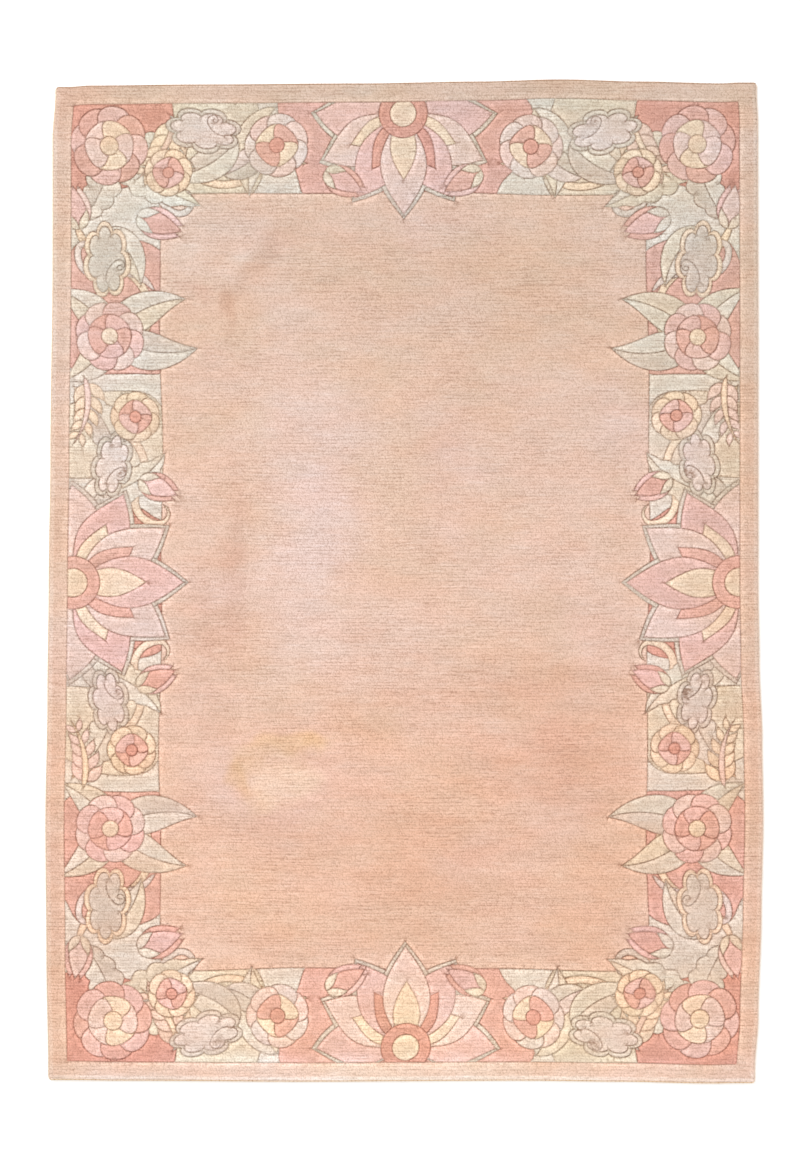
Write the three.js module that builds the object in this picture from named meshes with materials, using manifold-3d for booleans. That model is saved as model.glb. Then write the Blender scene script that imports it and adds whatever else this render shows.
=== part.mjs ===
// A hand-knotted wool pile rug with a carved flower border, lying flat on the floor.
// Millimetres, +Z up. The origin is on the floor under the middle of the rug's outline,
// +X points to its right-hand edge and +Y to its top edge.
import * as THREE from 'three';
import { mergeVertices } from 'three/addons/utils/BufferGeometryUtils.js';
import Module from 'manifold-3d';

const wasm = await Module();
wasm.setup();

// Driving dimensions
const HALF_WIDTH = 855;
const HALF_LENGTH = 1200;
const THICKNESS = 14;
const CORNER_RADIUS = 9;
const CORNER_ANGLES = [22.5, 45, 67.5];
const GAP = 0.3;

// The overcast cord that binds each edge
const CORD_WIDTH = 5.6;
const CORD_SIDES = 8;

// The border lies between two carved lines: one follows the rug's edge beside a plain band, and one
// frames the plain field
const BAND_WIDTH = 46;
const INNER_LINE = { x: 0, y: 0, halfX: 585, halfY: 931 };

// A carved groove is a V, cut from a little above the pile. Where two would meet, a bridge of pile
// stays between them, with some slack at the outer line, whose straight pieces are long.
const GROOVE_WIDTH = 5;
const GROOVE_DEPTH = 5;
const CUT_ABOVE = 0.4;
const GROOVE_BRIDGE = 1.5;
const FRAME_SLACK = 1.5;
const SHORTEST_GROOVE = 20;
const SHORTEST_MITRE_COSINE = 0.3;

// How finely the carved lines are drawn: the usual length, and turn in degrees, of a straight piece
const STEP = { frame: 200, leaf: 66, bud: 28, turn: 40 };

// Proportions of the motifs
const LEAF_FATNESS = 0.75;
const CLOUD = { lobes: 6, dip: 0.8, squash: 0.6 };
const FLOWER = { dip: 0.86, centre: 0.42 };
const BUD = { halfWidth: 0.36, fatness: 0.8 };
const LOTUS = { spread: 150, taper: 0.04, edging: 12, heart: 0.24, partingEnd: 0.62 };

// Across one round lobe, as shares of the way to the next: where its edge turns
const LOBE = [
  { share: -0.22, dips: false },
  { share: 0.22, dips: false },
  { share: 0.5, dips: true },
];

// Across one lotus petal, as shares of the way to the next tip: how far out its edge lies
const LOTUS_PETAL = [
  { share: -0.5, reach: 0.79 },
  { share: -0.2, reach: 0.9 },
  { share: 0, reach: 1 },
  { share: 0.2, reach: 0.9 },
];

// The side of the knotted cloth, from the floor up: it stands in by this much from the edge cords,
// and the pile leans out over them
const SIDE_PROFILE = [
  { z: 0, inset: 0.6 },
  { z: 4.5, inset: 0 },
  { z: 9.5, inset: -2.4 },
  { z: 12.6, inset: -1.6 },
  { z: THICKNESS, inset: 1.2 },
];

// How far each edge of the rug lies outside the plain rectangle, along that edge from its middle
const WAVER = {
  bottom: [
    { at: -800, out: -2.5 },
    { at: -680, out: -1 },
    { at: -250, out: 1.5 },
    { at: 280, out: -1 },
    { at: 520, out: 1.5 },
    { at: 740, out: 6 },
    { at: 810, out: 5 },
  ],
  right: [
    { at: -1170, out: -12 },
    { at: -1050, out: -4 },
    { at: -800, out: 3.5 },
    { at: -570, out: 8 },
    { at: -380, out: 5.5 },
    { at: -190, out: -1.5 },
    { at: 0, out: -4 },
    { at: 560, out: -4 },
    { at: 1100, out: -5 },
    { at: 1170, out: -8 },
  ],
  top: [
    { at: -810, out: -12 },
    { at: -750, out: -8.5 },
    { at: -490, out: -6 },
    { at: -100, out: -3.5 },
    { at: 180, out: 1 },
    { at: 373, out: 6 },
    { at: 565, out: 1 },
    { at: 760, out: -3.5 },
    { at: 810, out: -1.5 },
  ],
  left: [
    { at: -1170, out: 1 },
    { at: -900, out: 5.5 },
    { at: -580, out: 8 },
    { at: -280, out: 3 },
    { at: 0, out: 0 },
    { at: 300, out: -4 },
    { at: 770, out: -9 },
    { at: 1060, out: -9 },
    { at: 1170, out: -16 },
  ],
};

// The border's motifs in its top right-hand quarter, placed from the middle of the rug and turned
// in degrees. Each is mirrored into the other quarters, and one that sits on an axis is mirrored once.
const QUARTERS = [[1, 1], [-1, 1], [-1, -1], [1, -1]];
const LEAVES = [
  { x: 310, y: 1135, turn: -50, length: 225, width: 98, bend: -50 },
  { x: 430, y: 975, turn: 165, length: 170, width: 66, bend: -60 },
  { x: 700, y: 1045, turn: 175, length: 215, width: 86, bend: 40 },
  { x: 700, y: 1045, turn: 226, length: 262, width: 98, bend: -25 },
  { x: 700, y: 1045, turn: 275, length: 215, width: 86, bend: 40 },
  { x: 720, y: 850, turn: 212, length: 170, width: 76, bend: 50 },
  { x: 700, y: 590, turn: 128, length: 205, width: 88, bend: 50 },
  { x: 700, y: 590, turn: 212, length: 215, width: 92, bend: -50 },
  { x: 700, y: 590, turn: 62, length: 175, width: 80, bend: -40 },
  { x: 700, y: 590, turn: -62, length: 165, width: 78, bend: 40 },
  { x: 770, y: 440, turn: 222, length: 210, width: 86, bend: 50 },
  { x: 730, y: 215, turn: 172, length: 185, width: 78, bend: -50 },
];
const CLOUDS = [
  { x: 480, y: 1085, turn: 12, length: 185 },
  { x: 712, y: 775, turn: 85, length: 190 },
  { x: 705, y: 285, turn: 100, length: 165 },
];
const LOTUSES = [
  { x: 0, y: 1122, turn: -90, radius: 245, petals: 7 },
  { x: 800, y: 0, turn: 180, radius: 270, petals: 7 },
];
const FLOWERS = [
  { x: 705, y: 1050, turn: 10, radius: 94, petals: 8 },
  { x: 306, y: 1045, turn: 0, radius: 76, petals: 7 },
  { x: 705, y: 590, turn: 20, radius: 84, petals: 8 },
  { x: 650, y: 400, turn: 0, radius: 60, petals: 7 },
  { x: 562, y: 985, turn: 15, radius: 58, petals: 7 },
];
const BUDS = [
  { x: 190, y: 985, turn: -150, length: 105 },
  { x: 640, y: 880, turn: 200, length: 115 },
  { x: 778, y: 850, turn: 80, length: 105 },
  { x: 640, y: 250, turn: 205, length: 100 },
];

// Outline of the rug

function waverAt(side, at) {
  const rows = WAVER[side];
  if (at <= rows[0].at) return rows[0].out;
  for (let i = 1; i < rows.length; i++) {
    if (at <= rows[i].at) {
      const share = (at - rows[i - 1].at) / (rows[i].at - rows[i - 1].at);
      return THREE.MathUtils.lerp(rows[i - 1].out, rows[i].out, THREE.MathUtils.smoothstep(share, 0, 1));
    }
  }
  return rows.at(-1).out;
}

// Where a side's two corners lie, along that side
function cornersOf(side) {
  if (side === 'bottom' || side === 'top') {
    const end = side === 'top' ? HALF_LENGTH : -HALF_LENGTH;
    return [-HALF_WIDTH - waverAt('left', end), HALF_WIDTH + waverAt('right', end)];
  }
  const end = side === 'right' ? HALF_WIDTH : -HALF_WIDTH;
  return [-HALF_LENGTH - waverAt('bottom', end), HALF_LENGTH + waverAt('top', end)];
}

// The points of one side between its corner bends, counter-clockwise round the rug
function sideLine(side, inset, corner = CORNER_RADIUS) {
  const [low, high] = cornersOf(side);
  const [first, last] = [low + corner, high - corner];
  const inner = WAVER[side].map((row) => row.at).filter((at) => (
    at > first + CORNER_RADIUS && at < last - CORNER_RADIUS
  ));
  const line = [first, ...inner, last].map((at) => {
    const out = waverAt(side, at) - inset;
    if (side === 'bottom') return new THREE.Vector2(at, -HALF_LENGTH - out);
    if (side === 'top') return new THREE.Vector2(at, HALF_LENGTH + out);
    if (side === 'right') return new THREE.Vector2(HALF_WIDTH + out, at);
    return new THREE.Vector2(-HALF_WIDTH - out, at);
  });
  return side === 'bottom' || side === 'right' ? line : line.reverse();
}

// The bend from the end of one side to the start of the next
function cornerBend(from, to, fromSide) {
  const upright = fromSide === 'right' || fromSide === 'left';
  const centre = upright ? new THREE.Vector2(to.x, from.y) : new THREE.Vector2(from.x, to.y);
  const start = from.clone().sub(centre);
  const end = to.clone().sub(centre);
  return CORNER_ANGLES.map((degrees) => {
    const angle = THREE.MathUtils.degToRad(degrees);
    return centre.clone().addScaledVector(start, Math.cos(angle)).addScaledVector(end, Math.sin(angle));
  });
}

const SIDE_ORDER = ['bottom', 'right', 'top', 'left'];

// The four sides and the bend after each, moved in from the rug's edge by an inset
function sidesAndBends(inset) {
  const lines = SIDE_ORDER.map((side) => sideLine(side, inset));
  const bends = lines.map((line, i) => cornerBend(line.at(-1), lines[(i + 1) % 4][0], SIDE_ORDER[i]));
  return { lines, bends };
}

function rugOutline(inset) {
  const { lines, bends } = sidesAndBends(inset);
  return lines.flatMap((line, i) => [...line, ...bends[i]]);
}

// The line between the plain band and the border, with sharp corners
function bandLine() {
  return SIDE_ORDER.flatMap((side) => sideLine(side, BAND_WIDTH, BAND_WIDTH).slice(0, -1));
}

// Solids

// A closed solid through rings of points, capped at both ends unless the rings close on themselves
function loft(rings, closed, capContour) {
  const count = rings[0].length;
  const positions = rings.flatMap((ring) => ring.flatMap((point) => point.toArray()));
  const index = [];
  const spans = closed ? rings.length : rings.length - 1;
  for (let r = 0; r < spans; r++) {
    const next = (r + 1) % rings.length;
    for (let i = 0; i < count; i++) {
      const j = (i + 1) % count;
      const [a, b] = [r * count + i, r * count + j];
      const [c, d] = [next * count + j, next * count + i];
      index.push(a, b, c, a, c, d);
    }
  }
  if (!closed) {
    const top = (rings.length - 1) * count;
    for (const [a, b, c] of THREE.ShapeUtils.triangulateShape(capContour, [])) {
      index.push(c, b, a, top + a, top + b, top + c);
    }
  }
  const geometry = new THREE.BufferGeometry();
  geometry.setAttribute('position', new THREE.Float32BufferAttribute(positions, 3));
  geometry.setIndex(index);
  return geometry;
}

function toSolid(geometry) {
  geometry.deleteAttribute('normal');
  geometry.deleteAttribute('uv');
  const merged = mergeVertices(geometry, 1e-3);
  return new wasm.Manifold(new wasm.Mesh({
    numProp: 3,
    vertProperties: new Float32Array(merged.attributes.position.array),
    triVerts: new Uint32Array(merged.index.array),
  }));
}

function toGeometry(solid) {
  const mesh = solid.getMesh();
  const geometry = new THREE.BufferGeometry();
  geometry.setAttribute('position', new THREE.Float32BufferAttribute(mesh.vertProperties, 3));
  geometry.setIndex(Array.from(mesh.triVerts));
  return geometry;
}

// Lines on the pile

// The leftward direction at each point of a line, as long as its mitre needs
function mitres(points, closed) {
  const count = points.length;
  return points.map((point, i) => {
    const before = closed || i > 0 ? points[(i + count - 1) % count] : null;
    const after = closed || i < count - 1 ? points[(i + 1) % count] : null;
    const left = [[before, point], [point, after]].filter(([a, b]) => a && b).map(([a, b]) => {
      const way = b.clone().sub(a).normalize();
      return new THREE.Vector2(-way.y, way.x);
    });
    const mean = left.length === 2 ? left[0].clone().add(left[1]).normalize() : left[0];
    return mean.multiplyScalar(1 / Math.max(mean.dot(left[0]), SHORTEST_MITRE_COSINE));
  });
}

// A ring moved outwards all along, or inwards where the distance is negative
function grown(ring, distance) {
  const leftward = THREE.ShapeUtils.isClockWise(ring) ? distance : -distance;
  return mitres(ring, true).map((side, i) => ring[i].clone().addScaledVector(side, leftward));
}

function rectangleLine({ halfX, halfY }) {
  const corners = [[-halfX, -halfY], [halfX, -halfY], [halfX, halfY], [-halfX, halfY]]
    .map(([x, y]) => new THREE.Vector2(x, y));
  return corners.flatMap((corner, i) => {
    const next = corners[(i + 1) % 4];
    const count = Math.round(corner.distanceTo(next) / STEP.frame);
    return Array.from({ length: count }, (_, k) => corner.clone().lerp(next, k / count));
  });
}

// Where a straight piece crosses a ring, as shares of the piece in rising order
function crossings(from, to, ring) {
  const piece = to.clone().sub(from);
  const shares = ring.flatMap((corner, i) => {
    const side = ring[(i + 1) % ring.length].clone().sub(corner);
    const area = piece.cross(side);
    if (area === 0) return [];
    const away = corner.clone().sub(from);
    const [share, along] = [away.cross(side) / area, away.cross(piece) / area];
    return share > 0 && share < 1 && along >= 0 && along < 1 ? [share] : [];
  });
  return shares.sort((a, b) => a - b);
}

function isInside(point, ring) {
  return ring.reduce((inside, a, i) => {
    const b = ring[(i + 1) % ring.length];
    const level = (a.y > point.y) !== (b.y > point.y);
    const crossed = level && point.x < a.x + (b.x - a.x) * (point.y - a.y) / (b.y - a.y);
    return crossed ? !inside : inside;
  }, false);
}

// The stretches of a line that lie inside a ring, or outside it
function clipLine({ line, closed }, ring, keepInside) {
  const points = closed ? [...line, line[0]] : line;
  const stretches = [[]];
  let whole = true;
  for (let i = 1; i < points.length; i++) {
    const stops = [0, ...crossings(points[i - 1], points[i], ring), 1]
      .map((share) => points[i - 1].clone().lerp(points[i], share));
    for (let k = 1; k < stops.length; k++) {
      const [from, to] = [stops[k - 1], stops[k]];
      const keeps = isInside(from.clone().lerp(to, 0.5), ring) === keepInside;
      whole &&= keeps;
      if (!keeps) stretches.push([]);
      else if (stretches.at(-1).length) stretches.at(-1).push(to);
      else stretches.at(-1).push(from, to);
    }
  }
  if (whole) return [{ line, closed }];
  const startsWhereItEnds = closed && stretches[0].length && stretches.at(-1).length;
  if (startsWhereItEnds) stretches[0] = [...stretches.pop(), ...stretches[0].slice(1)];
  return stretches.filter((stretch) => stretch.length).map((stretch) => ({ line: stretch, closed: false }));
}

// Motifs, each drawn from its own foot along +X as an outline and the lines within it

const open = (line) => ({ line, closed: false });
const polar = (radius, degrees) => {
  const angle = THREE.MathUtils.degToRad(degrees);
  return new THREE.Vector2(radius * Math.cos(angle), radius * Math.sin(angle));
};

// The points of a path that bends evenly, and its heading at each
function bentPath(length, bend, step) {
  const count = Math.max(2, Math.round(length / step), Math.round(Math.abs(bend) / STEP.turn));
  const half = THREE.MathUtils.degToRad(bend) / count / 2;
  const path = [{ point: new THREE.Vector2(), heading: 0 }];
  for (let i = 0; i < count; i++) {
    const { point, heading } = path[i];
    const stride = new THREE.Vector2(length / count, 0).rotateAround(new THREE.Vector2(), heading + half);
    path.push({ point: point.clone().add(stride), heading: heading + 2 * half });
  }
  return path;
}

// A pointed outline about such a path, widest before its middle where fatness is under 1
function bladeOutline(path, halfWidth, fatness) {
  const [left, right] = [1, -1].map((sign) => path.map(({ point, heading }, i) => {
    const half = sign * halfWidth * Math.sin(Math.PI * (i / (path.length - 1)) ** fatness);
    return new THREE.Vector2(point.x - Math.sin(heading) * half, point.y + Math.cos(heading) * half);
  }));
  return [...left, ...right.reverse().slice(1, -1)];
}

// A ring of round lobes about its middle, the first one on +X, with a dip after each
function lobedRing(radius, lobes, dip, squash = 1) {
  const places = Array.from({ length: lobes }, (_, lobe) => lobe);
  return places.flatMap((lobe) => LOBE.map(({ share, dips }) => {
    const { x, y } = polar(dips ? radius * dip : radius, 360 * (lobe + share) / lobes);
    return new THREE.Vector2(x, y * squash);
  }));
}

// The line round the plain field
const fieldMotif = (row) => ({ outline: rectangleLine(row), lines: [] });

// A pointed leaf about a bent rib
function leafMotif({ length, width, bend }) {
  const outline = bladeOutline(bentPath(length, bend, STEP.leaf), width / 2, LEAF_FATNESS);
  const rib = bentPath(length, bend, length).map(({ point }) => point);
  return { outline, lines: [open(rib)] };
}

// A cloud with soft lobes and a curl
function cloudMotif({ length }) {
  const outline = lobedRing(length / 2, CLOUD.lobes, CLOUD.dip, CLOUD.squash);
  const curl = [polar(length * 0.26, 195), polar(length * 0.1, 260), polar(length * 0.2, 345)];
  return { outline, lines: [open(curl)] };
}

// A flower of round petals seen from above, with its centre
function flowerMotif({ radius, petals }) {
  const outline = lobedRing(radius, petals, FLOWER.dip);
  const corners = petals - 1;
  const centre = Array.from({ length: corners }, (_, i) => polar(radius * FLOWER.centre, 360 * i / corners));
  return { outline, lines: [{ line: centre, closed: true }] };
}

// A half-open bud: three petals in one outline, the middle one in front
function budMotif({ length }) {
  const outline = bladeOutline(bentPath(length, 0, STEP.bud), length * BUD.halfWidth, BUD.fatness);
  const partings = [1, -1].map((side) => [polar(length * 0.3, side * 14), polar(length * 0.86, side * 12)]);
  return { outline, lines: partings.map(open) };
}

// A lotus seen from the side: a fan of pointed petals about its foot, parted from one another
function lotusMotif({ radius, petals }) {
  const pitch = LOTUS.spread / (petals - 1);
  const places = Array.from({ length: petals }, (_, k) => k - (petals - 1) / 2);
  const fan = places.flatMap((petal) => LOTUS_PETAL.map(({ share, reach }) => {
    const tip = radius * (1 - LOTUS.taper * Math.abs(petal)) + LOTUS.edging;
    return polar(tip * reach, (petal + share) * pitch);
  }));
  const partings = places.slice(1).map((petal) => [LOTUS.heart * 1.25, LOTUS.partingEnd].map((reach) => (
    polar(radius * reach, (petal - 0.5) * pitch)
  )));
  const heart = places.map((petal) => polar(radius * LOTUS.heart, petal * pitch * 1.1));
  return { outline: [...fan, new THREE.Vector2(-LOTUS.edging, 0)], lines: [...partings, heart].map(open) };
}

// From the lowest motifs to the uppermost
const MOTIF_KINDS = [
  { rows: [INNER_LINE], motifOf: fieldMotif },
  { rows: LEAVES, motifOf: leafMotif },
  { rows: CLOUDS, motifOf: cloudMotif },
  { rows: LOTUSES, motifOf: lotusMotif },
  { rows: FLOWERS, motifOf: flowerMotif },
  { rows: BUDS, motifOf: budMotif },
];

// The hand's drift: no carved line is quite straight, and no two quarters are quite alike
function drift(x, y) {
  return new THREE.Vector2(
    x + 3.5 * Math.sin(y / 210 + 0.6) + 2.2 * Math.sin(x / 120 + y / 75 + 2.1),
    y + 3.2 * Math.sin(x / 190 + 1.9) + 2 * Math.sin(y / 110 - x / 85 + 0.4),
  );
}

// A motif's line in its place on the rug
function placeLine(points, { x, y, turn = 0 }, mirrorX, mirrorY) {
  const angle = THREE.MathUtils.degToRad(turn);
  return points.map((point) => {
    const turned = point.clone().rotateAround(new THREE.Vector2(), angle);
    return drift((turned.x + x) * mirrorX, (turned.y + y) * mirrorY);
  });
}

function placedMotifs() {
  const motifs = [];
  for (const { rows, motifOf } of MOTIF_KINDS) {
    for (const row of rows) {
      const { outline, lines } = motifOf(row);
      for (const [mirrorX, mirrorY] of QUARTERS) {
        const sameAgain = (row.x === 0 && mirrorX < 0) || (row.y === 0 && mirrorY < 0);
        const place = (points) => placeLine(points, row, mirrorX, mirrorY);
        const placed = lines.map(({ line, closed }) => ({ line: place(line), closed }));
        if (!sameAgain) motifs.push({ outline: place(outline), lines: placed });
      }
    }
  }
  return motifs;
}

const lineLength = (line) => line.reduce((sum, point, i) => sum + (i ? point.distanceTo(line[i - 1]) : 0), 0);

// Every stretch of line that no later motif hides. Each stops a little short of the outline that it
// runs into, so that no two grooves meet.
function carvedLines() {
  const clear = GROOVE_WIDTH + GROOVE_BRIDGE;
  const outerLine = bandLine();
  const limit = grown(outerLine, -clear - FRAME_SLACK);
  const motifs = placedMotifs();
  const hiders = motifs.map(({ outline }) => grown(outline, clear));
  const visible = motifs.flatMap(({ outline, lines }, i) => {
    const within = grown(outline, -clear);
    const own = lines.flatMap((run) => clipLine(run, within, true));
    const drawn = [{ line: outline, closed: true }, ...own].flatMap((run) => clipLine(run, limit, true));
    return hiders.slice(i + 1).reduce((runs, hider) => (
      runs.flatMap((run) => clipLine(run, hider, false))
    ), drawn);
  });
  const long = visible.filter(({ line, closed }) => closed || lineLength(line) > SHORTEST_GROOVE);
  return [...long, { line: outerLine, closed: true }];
}

// The V-shaped cutter along one line on the pile
function grooveCutter({ line: points, closed }) {
  const half = GROOVE_WIDTH / 2 * (1 + CUT_ABOVE / GROOVE_DEPTH);
  const rings = mitres(points, closed).map((side, i) => {
    const left = points[i].clone().addScaledVector(side, half);
    const right = points[i].clone().addScaledVector(side, -half);
    return [
      new THREE.Vector3(right.x, right.y, THICKNESS + CUT_ABOVE),
      new THREE.Vector3(points[i].x, points[i].y, THICKNESS - GROOVE_DEPTH),
      new THREE.Vector3(left.x, left.y, THICKNESS + CUT_ABOVE),
    ];
  });
  const section = [new THREE.Vector2(-1, 1), new THREE.Vector2(0, 0), new THREE.Vector2(1, 1)];
  return toSolid(loft(rings, closed, section));
}

// Pieces

function knottedCloth() {
  const outlines = SIDE_PROFILE.map(({ inset }) => rugOutline(CORD_WIDTH + GAP + inset));
  const rings = outlines.map((outline, i) => outline.map(({ x, y }) => (
    new THREE.Vector3(x, y, SIDE_PROFILE[i].z)
  )));
  const blank = toSolid(loft(rings, false, outlines[0]));
  return toGeometry(blank.subtract(wasm.Manifold.union(carvedLines().map(grooveCutter))));
}

// The overcast cord along one side, from the middle of one corner bend to the middle of the next
function edgeCord(side) {
  const { lines, bends } = sidesAndBends(CORD_WIDTH / 2);
  const place = SIDE_ORDER.indexOf(side);
  const path = [...bends[(place + 3) % 4], ...lines[place], ...bends[place]];
  const across = mitres(path, false);
  const past = (CORNER_ANGLES.length - 1) / 2;
  const [first, last] = [past, path.length - 1 - past];
  const pullIn = (end, inner) => path[end].add(path[inner].clone().sub(path[end]).setLength(GAP / 2));
  pullIn(first, first + 1);
  pullIn(last, last - 1);
  const section = Array.from({ length: CORD_SIDES }, (_, i) => (
    polar(CORD_WIDTH / 2 / Math.cos(Math.PI / CORD_SIDES), 360 * (i + 0.5) / CORD_SIDES)
  ));
  const rings = path.map((point, i) => section.map((corner) => new THREE.Vector3(
    point.x + across[i].x * corner.x,
    point.y + across[i].y * corner.x,
    corner.y + CORD_WIDTH / 2,
  )));
  return loft(rings.slice(first, last + 1), false, section);
}

const woolPile = new THREE.MeshStandardMaterial({ color: '#e4c3ad', roughness: 1, metalness: 0 });
const overcastYarn = new THREE.MeshStandardMaterial({ color: '#dcc3a6', roughness: 1, metalness: 0 });

function piece(name, geometry, material) {
  const mesh = new THREE.Mesh(geometry, material);
  mesh.name = name;
  return mesh;
}

const rug = new THREE.Group();
rug.add(
  piece('pile_rug', knottedCloth(), woolPile),
  piece('binding_bottom', edgeCord('bottom'), overcastYarn),
  piece('selvedge_right', edgeCord('right'), overcastYarn),
  piece('binding_top', edgeCord('top'), overcastYarn),
  piece('selvedge_left', edgeCord('left'), overcastYarn),
);

export default rug;
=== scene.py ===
"""Looks of a hand-knotted wool pile rug with a carved flower border, lying flat on a pale floor.

Metres and +Z up in Blender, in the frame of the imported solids. The sizes in the tables are millimetres,
measured from the middle of the rug with +Y towards its top edge.
"""

import logging
import math
from dataclasses import dataclass, field
from enum import Enum
from functools import partial
from typing import Any, Callable, ClassVar, Sequence

import bpy
import numpy as np
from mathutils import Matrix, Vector, noise
from mathutils.geometry import delaunay_2d_cdt
from mathutils.kdtree import KDTree


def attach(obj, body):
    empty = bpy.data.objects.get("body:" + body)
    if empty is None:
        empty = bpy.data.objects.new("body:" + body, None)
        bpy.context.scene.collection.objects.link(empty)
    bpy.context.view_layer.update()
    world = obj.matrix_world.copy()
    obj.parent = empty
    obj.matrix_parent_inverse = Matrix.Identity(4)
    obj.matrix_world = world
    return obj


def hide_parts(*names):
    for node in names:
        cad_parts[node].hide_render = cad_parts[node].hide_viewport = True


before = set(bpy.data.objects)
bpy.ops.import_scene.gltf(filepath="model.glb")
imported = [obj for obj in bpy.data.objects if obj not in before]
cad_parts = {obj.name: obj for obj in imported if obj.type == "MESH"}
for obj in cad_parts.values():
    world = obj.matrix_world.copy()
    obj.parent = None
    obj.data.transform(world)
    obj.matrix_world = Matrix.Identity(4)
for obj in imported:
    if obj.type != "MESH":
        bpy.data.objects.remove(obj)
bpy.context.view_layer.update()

log = logging.getLogger("rug")
MM = 0.001
PILE_TOP = 14.0
TESTS_AT_ONCE = 400000
Loop = np.ndarray
Socket = bpy.types.NodeSocket
Rows = tuple[tuple[float, float], ...]
Tone = tuple[float, float, float]
Layer = tuple[Socket | float, Socket | Tone]

# Settings that many nodes share
PLUS, MINUS, TIMES, TIMES_PLUS, DIVIDED, LARGER = (
    {"operation": name} for name in ("ADD", "SUBTRACT", "MULTIPLY", "MULTIPLY_ADD", "DIVIDE", "MAXIMUM"))
SMOOTH = {"interpolation_type": "SMOOTHSTEP"}
BLEND = {"data_type": "RGBA"}
TINT = {"data_type": "RGBA", "blend_type": "MULTIPLY"}


# Small helpers

def linear(hex_colour: str) -> tuple[float, float, float, float]:
    """Turns an sRGB hex colour into linear RGBA.

    Args:
        hex_colour: six hex digits.

    Returns:
        The linear colour with full alpha.
    """
    parts = [int(hex_colour[i:i + 2], 16) / 255 for i in (0, 2, 4)]
    red, green, blue = (p / 12.92 if p <= 0.04045 else ((p + 0.055) / 1.055) ** 2.4 for p in parts)
    return red, green, blue, 1.0


def add_node(tree: bpy.types.NodeTree, kind: str, settings: dict[str, Any] | None = None,
             inputs: dict[Any, Any] | Sequence[Any] = (), output: int | str = 0) -> Socket | None:
    """Adds a node with its settings, its constants and its links.

    Args:
        tree: the tree that takes the node.
        kind: the node's type name.
        settings: properties of the node by name.
        inputs: a constant or the socket that feeds it for each input, in order, or by name or place.
        output: the wanted output's name or place.

    Returns:
        That output, or None for a node that has none.
    """
    node = tree.nodes.new(kind)
    for name, value in (settings or {}).items():
        setattr(node, name, value)
    for key, value in inputs.items() if isinstance(inputs, dict) else enumerate(inputs):
        if isinstance(value, Socket):
            tree.links.new(value, node.inputs[key])
        else:
            node.inputs[key].default_value = value
    return node.outputs[output] if node.outputs else None


def empty_material(name: str) -> tuple[bpy.types.Material, Callable[..., Socket]]:
    """Makes a material whose tree is empty.

    Args:
        name: the material's name.

    Returns:
        The material, and add_node for its tree.
    """
    made = bpy.data.materials.new(name)
    made.use_nodes = True
    made.node_tree.nodes.clear()
    return made, partial(add_node, made.node_tree)


def surfaced(made: bpy.types.Material, surface: dict[str, Any]) -> bpy.types.Material:
    """Ends a material's tree with its surface.

    Args:
        made: the material.
        surface: the surface's inputs by name.

    Returns:
        The material.
    """
    shader = add_node(made.node_tree, "ShaderNodeBsdfPrincipled", None, surface)
    add_node(made.node_tree, "ShaderNodeOutputMaterial", None, {"Surface": shader})
    return made


def link_object(name: str, data: bpy.types.ID) -> bpy.types.Object:
    """Puts a mesh or curve into the scene at the origin."""
    thing = bpy.data.objects.new(name, data)
    bpy.context.scene.collection.objects.link(thing)
    return thing


def turned(points: Loop, degrees: float) -> Loop:
    """Turns points counter-clockwise about the origin."""
    angle = math.radians(degrees)
    cos, sin = math.cos(angle), math.sin(angle)
    return points @ np.array([[cos, sin], [-sin, cos]])


def ring_pairs(count: int) -> np.ndarray:
    """Numbers, two by two, of the points that follow each other round a ring."""
    numbers = np.arange(count)
    return np.stack([numbers, np.roll(numbers, -1)], 1)


def search_tree(points: Loop) -> KDTree:
    """Sorts flat points, so that the nearest one to a place is found fast."""
    tree = KDTree(len(points))
    for number, (x, y) in enumerate(points):
        tree.insert((x, y, 0), number)
    tree.balance()
    return tree


def triangle_net(points: Loop, pairs: np.ndarray, merge: float) -> tuple[Loop, np.ndarray, tuple]:
    """Lays a flat triangle net over points.

    Args:
        points: one point a row.
        pairs: the numbers of the points that an edge of the net has to join.
        merge: how near two points are that become one.

    Returns:
        The net's points, its triangles, and the triangulation's whole answer.
    """
    answer = delaunay_2d_cdt([Vector(p) for p in points.tolist()], pairs.tolist(), [], 0, merge)
    return np.array([tuple(v) for v in answer[0]]), np.array(answer[2]), answer


def inside(points: Loop, ring: Loop) -> np.ndarray:
    """Tells which points lie inside a closed ring.

    Args:
        points: one point a row.
        ring: the ring's corners in order.

    Returns:
        A truth value for each point.
    """
    result = np.zeros(len(points), bool)
    low, high = ring.min(0), ring.max(0)
    near = np.flatnonzero(((points > low) & (points < high)).all(1))
    start, end = ring, np.roll(ring, -1, 0)
    rise = end[:, 1] - start[:, 1]
    slope = (end[:, 0] - start[:, 0]) / np.where(rise == 0, 1, rise)
    handful = max(1, TESTS_AT_ONCE // len(ring))
    for first in range(0, len(near), handful):
        some = near[first:first + handful]
        x, y = points[some, 0][:, None], points[some, 1][:, None]
        level = (start[:, 1] > y) != (end[:, 1] > y)
        result[some] = (level & (x < start[:, 0] + slope * (y - start[:, 1]))).sum(1) % 2 == 1
    return result


# Dyes and finishes

class Dye(Enum):
    """The dyed yarns of the pile, as they look in the photograph."""

    FIELD = "E9C5AF"
    BAND = "E6C3AD"
    SAGE = "E4D4C3"
    OLIVE = "E4D0B9"
    GREY = "DBC8B7"
    LILAC = "E5CFC3"
    ROSE = "E3B1A0"
    BRICK = "DDA28F"
    PINK = "E8BEB2"
    BLUSH = "EACBBD"
    CREAM = "EFD3B8"
    SAND = "EACDB1"
    PEACH = "E8C7B2"


Areas = list[tuple[Loop, Dye]]


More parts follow.
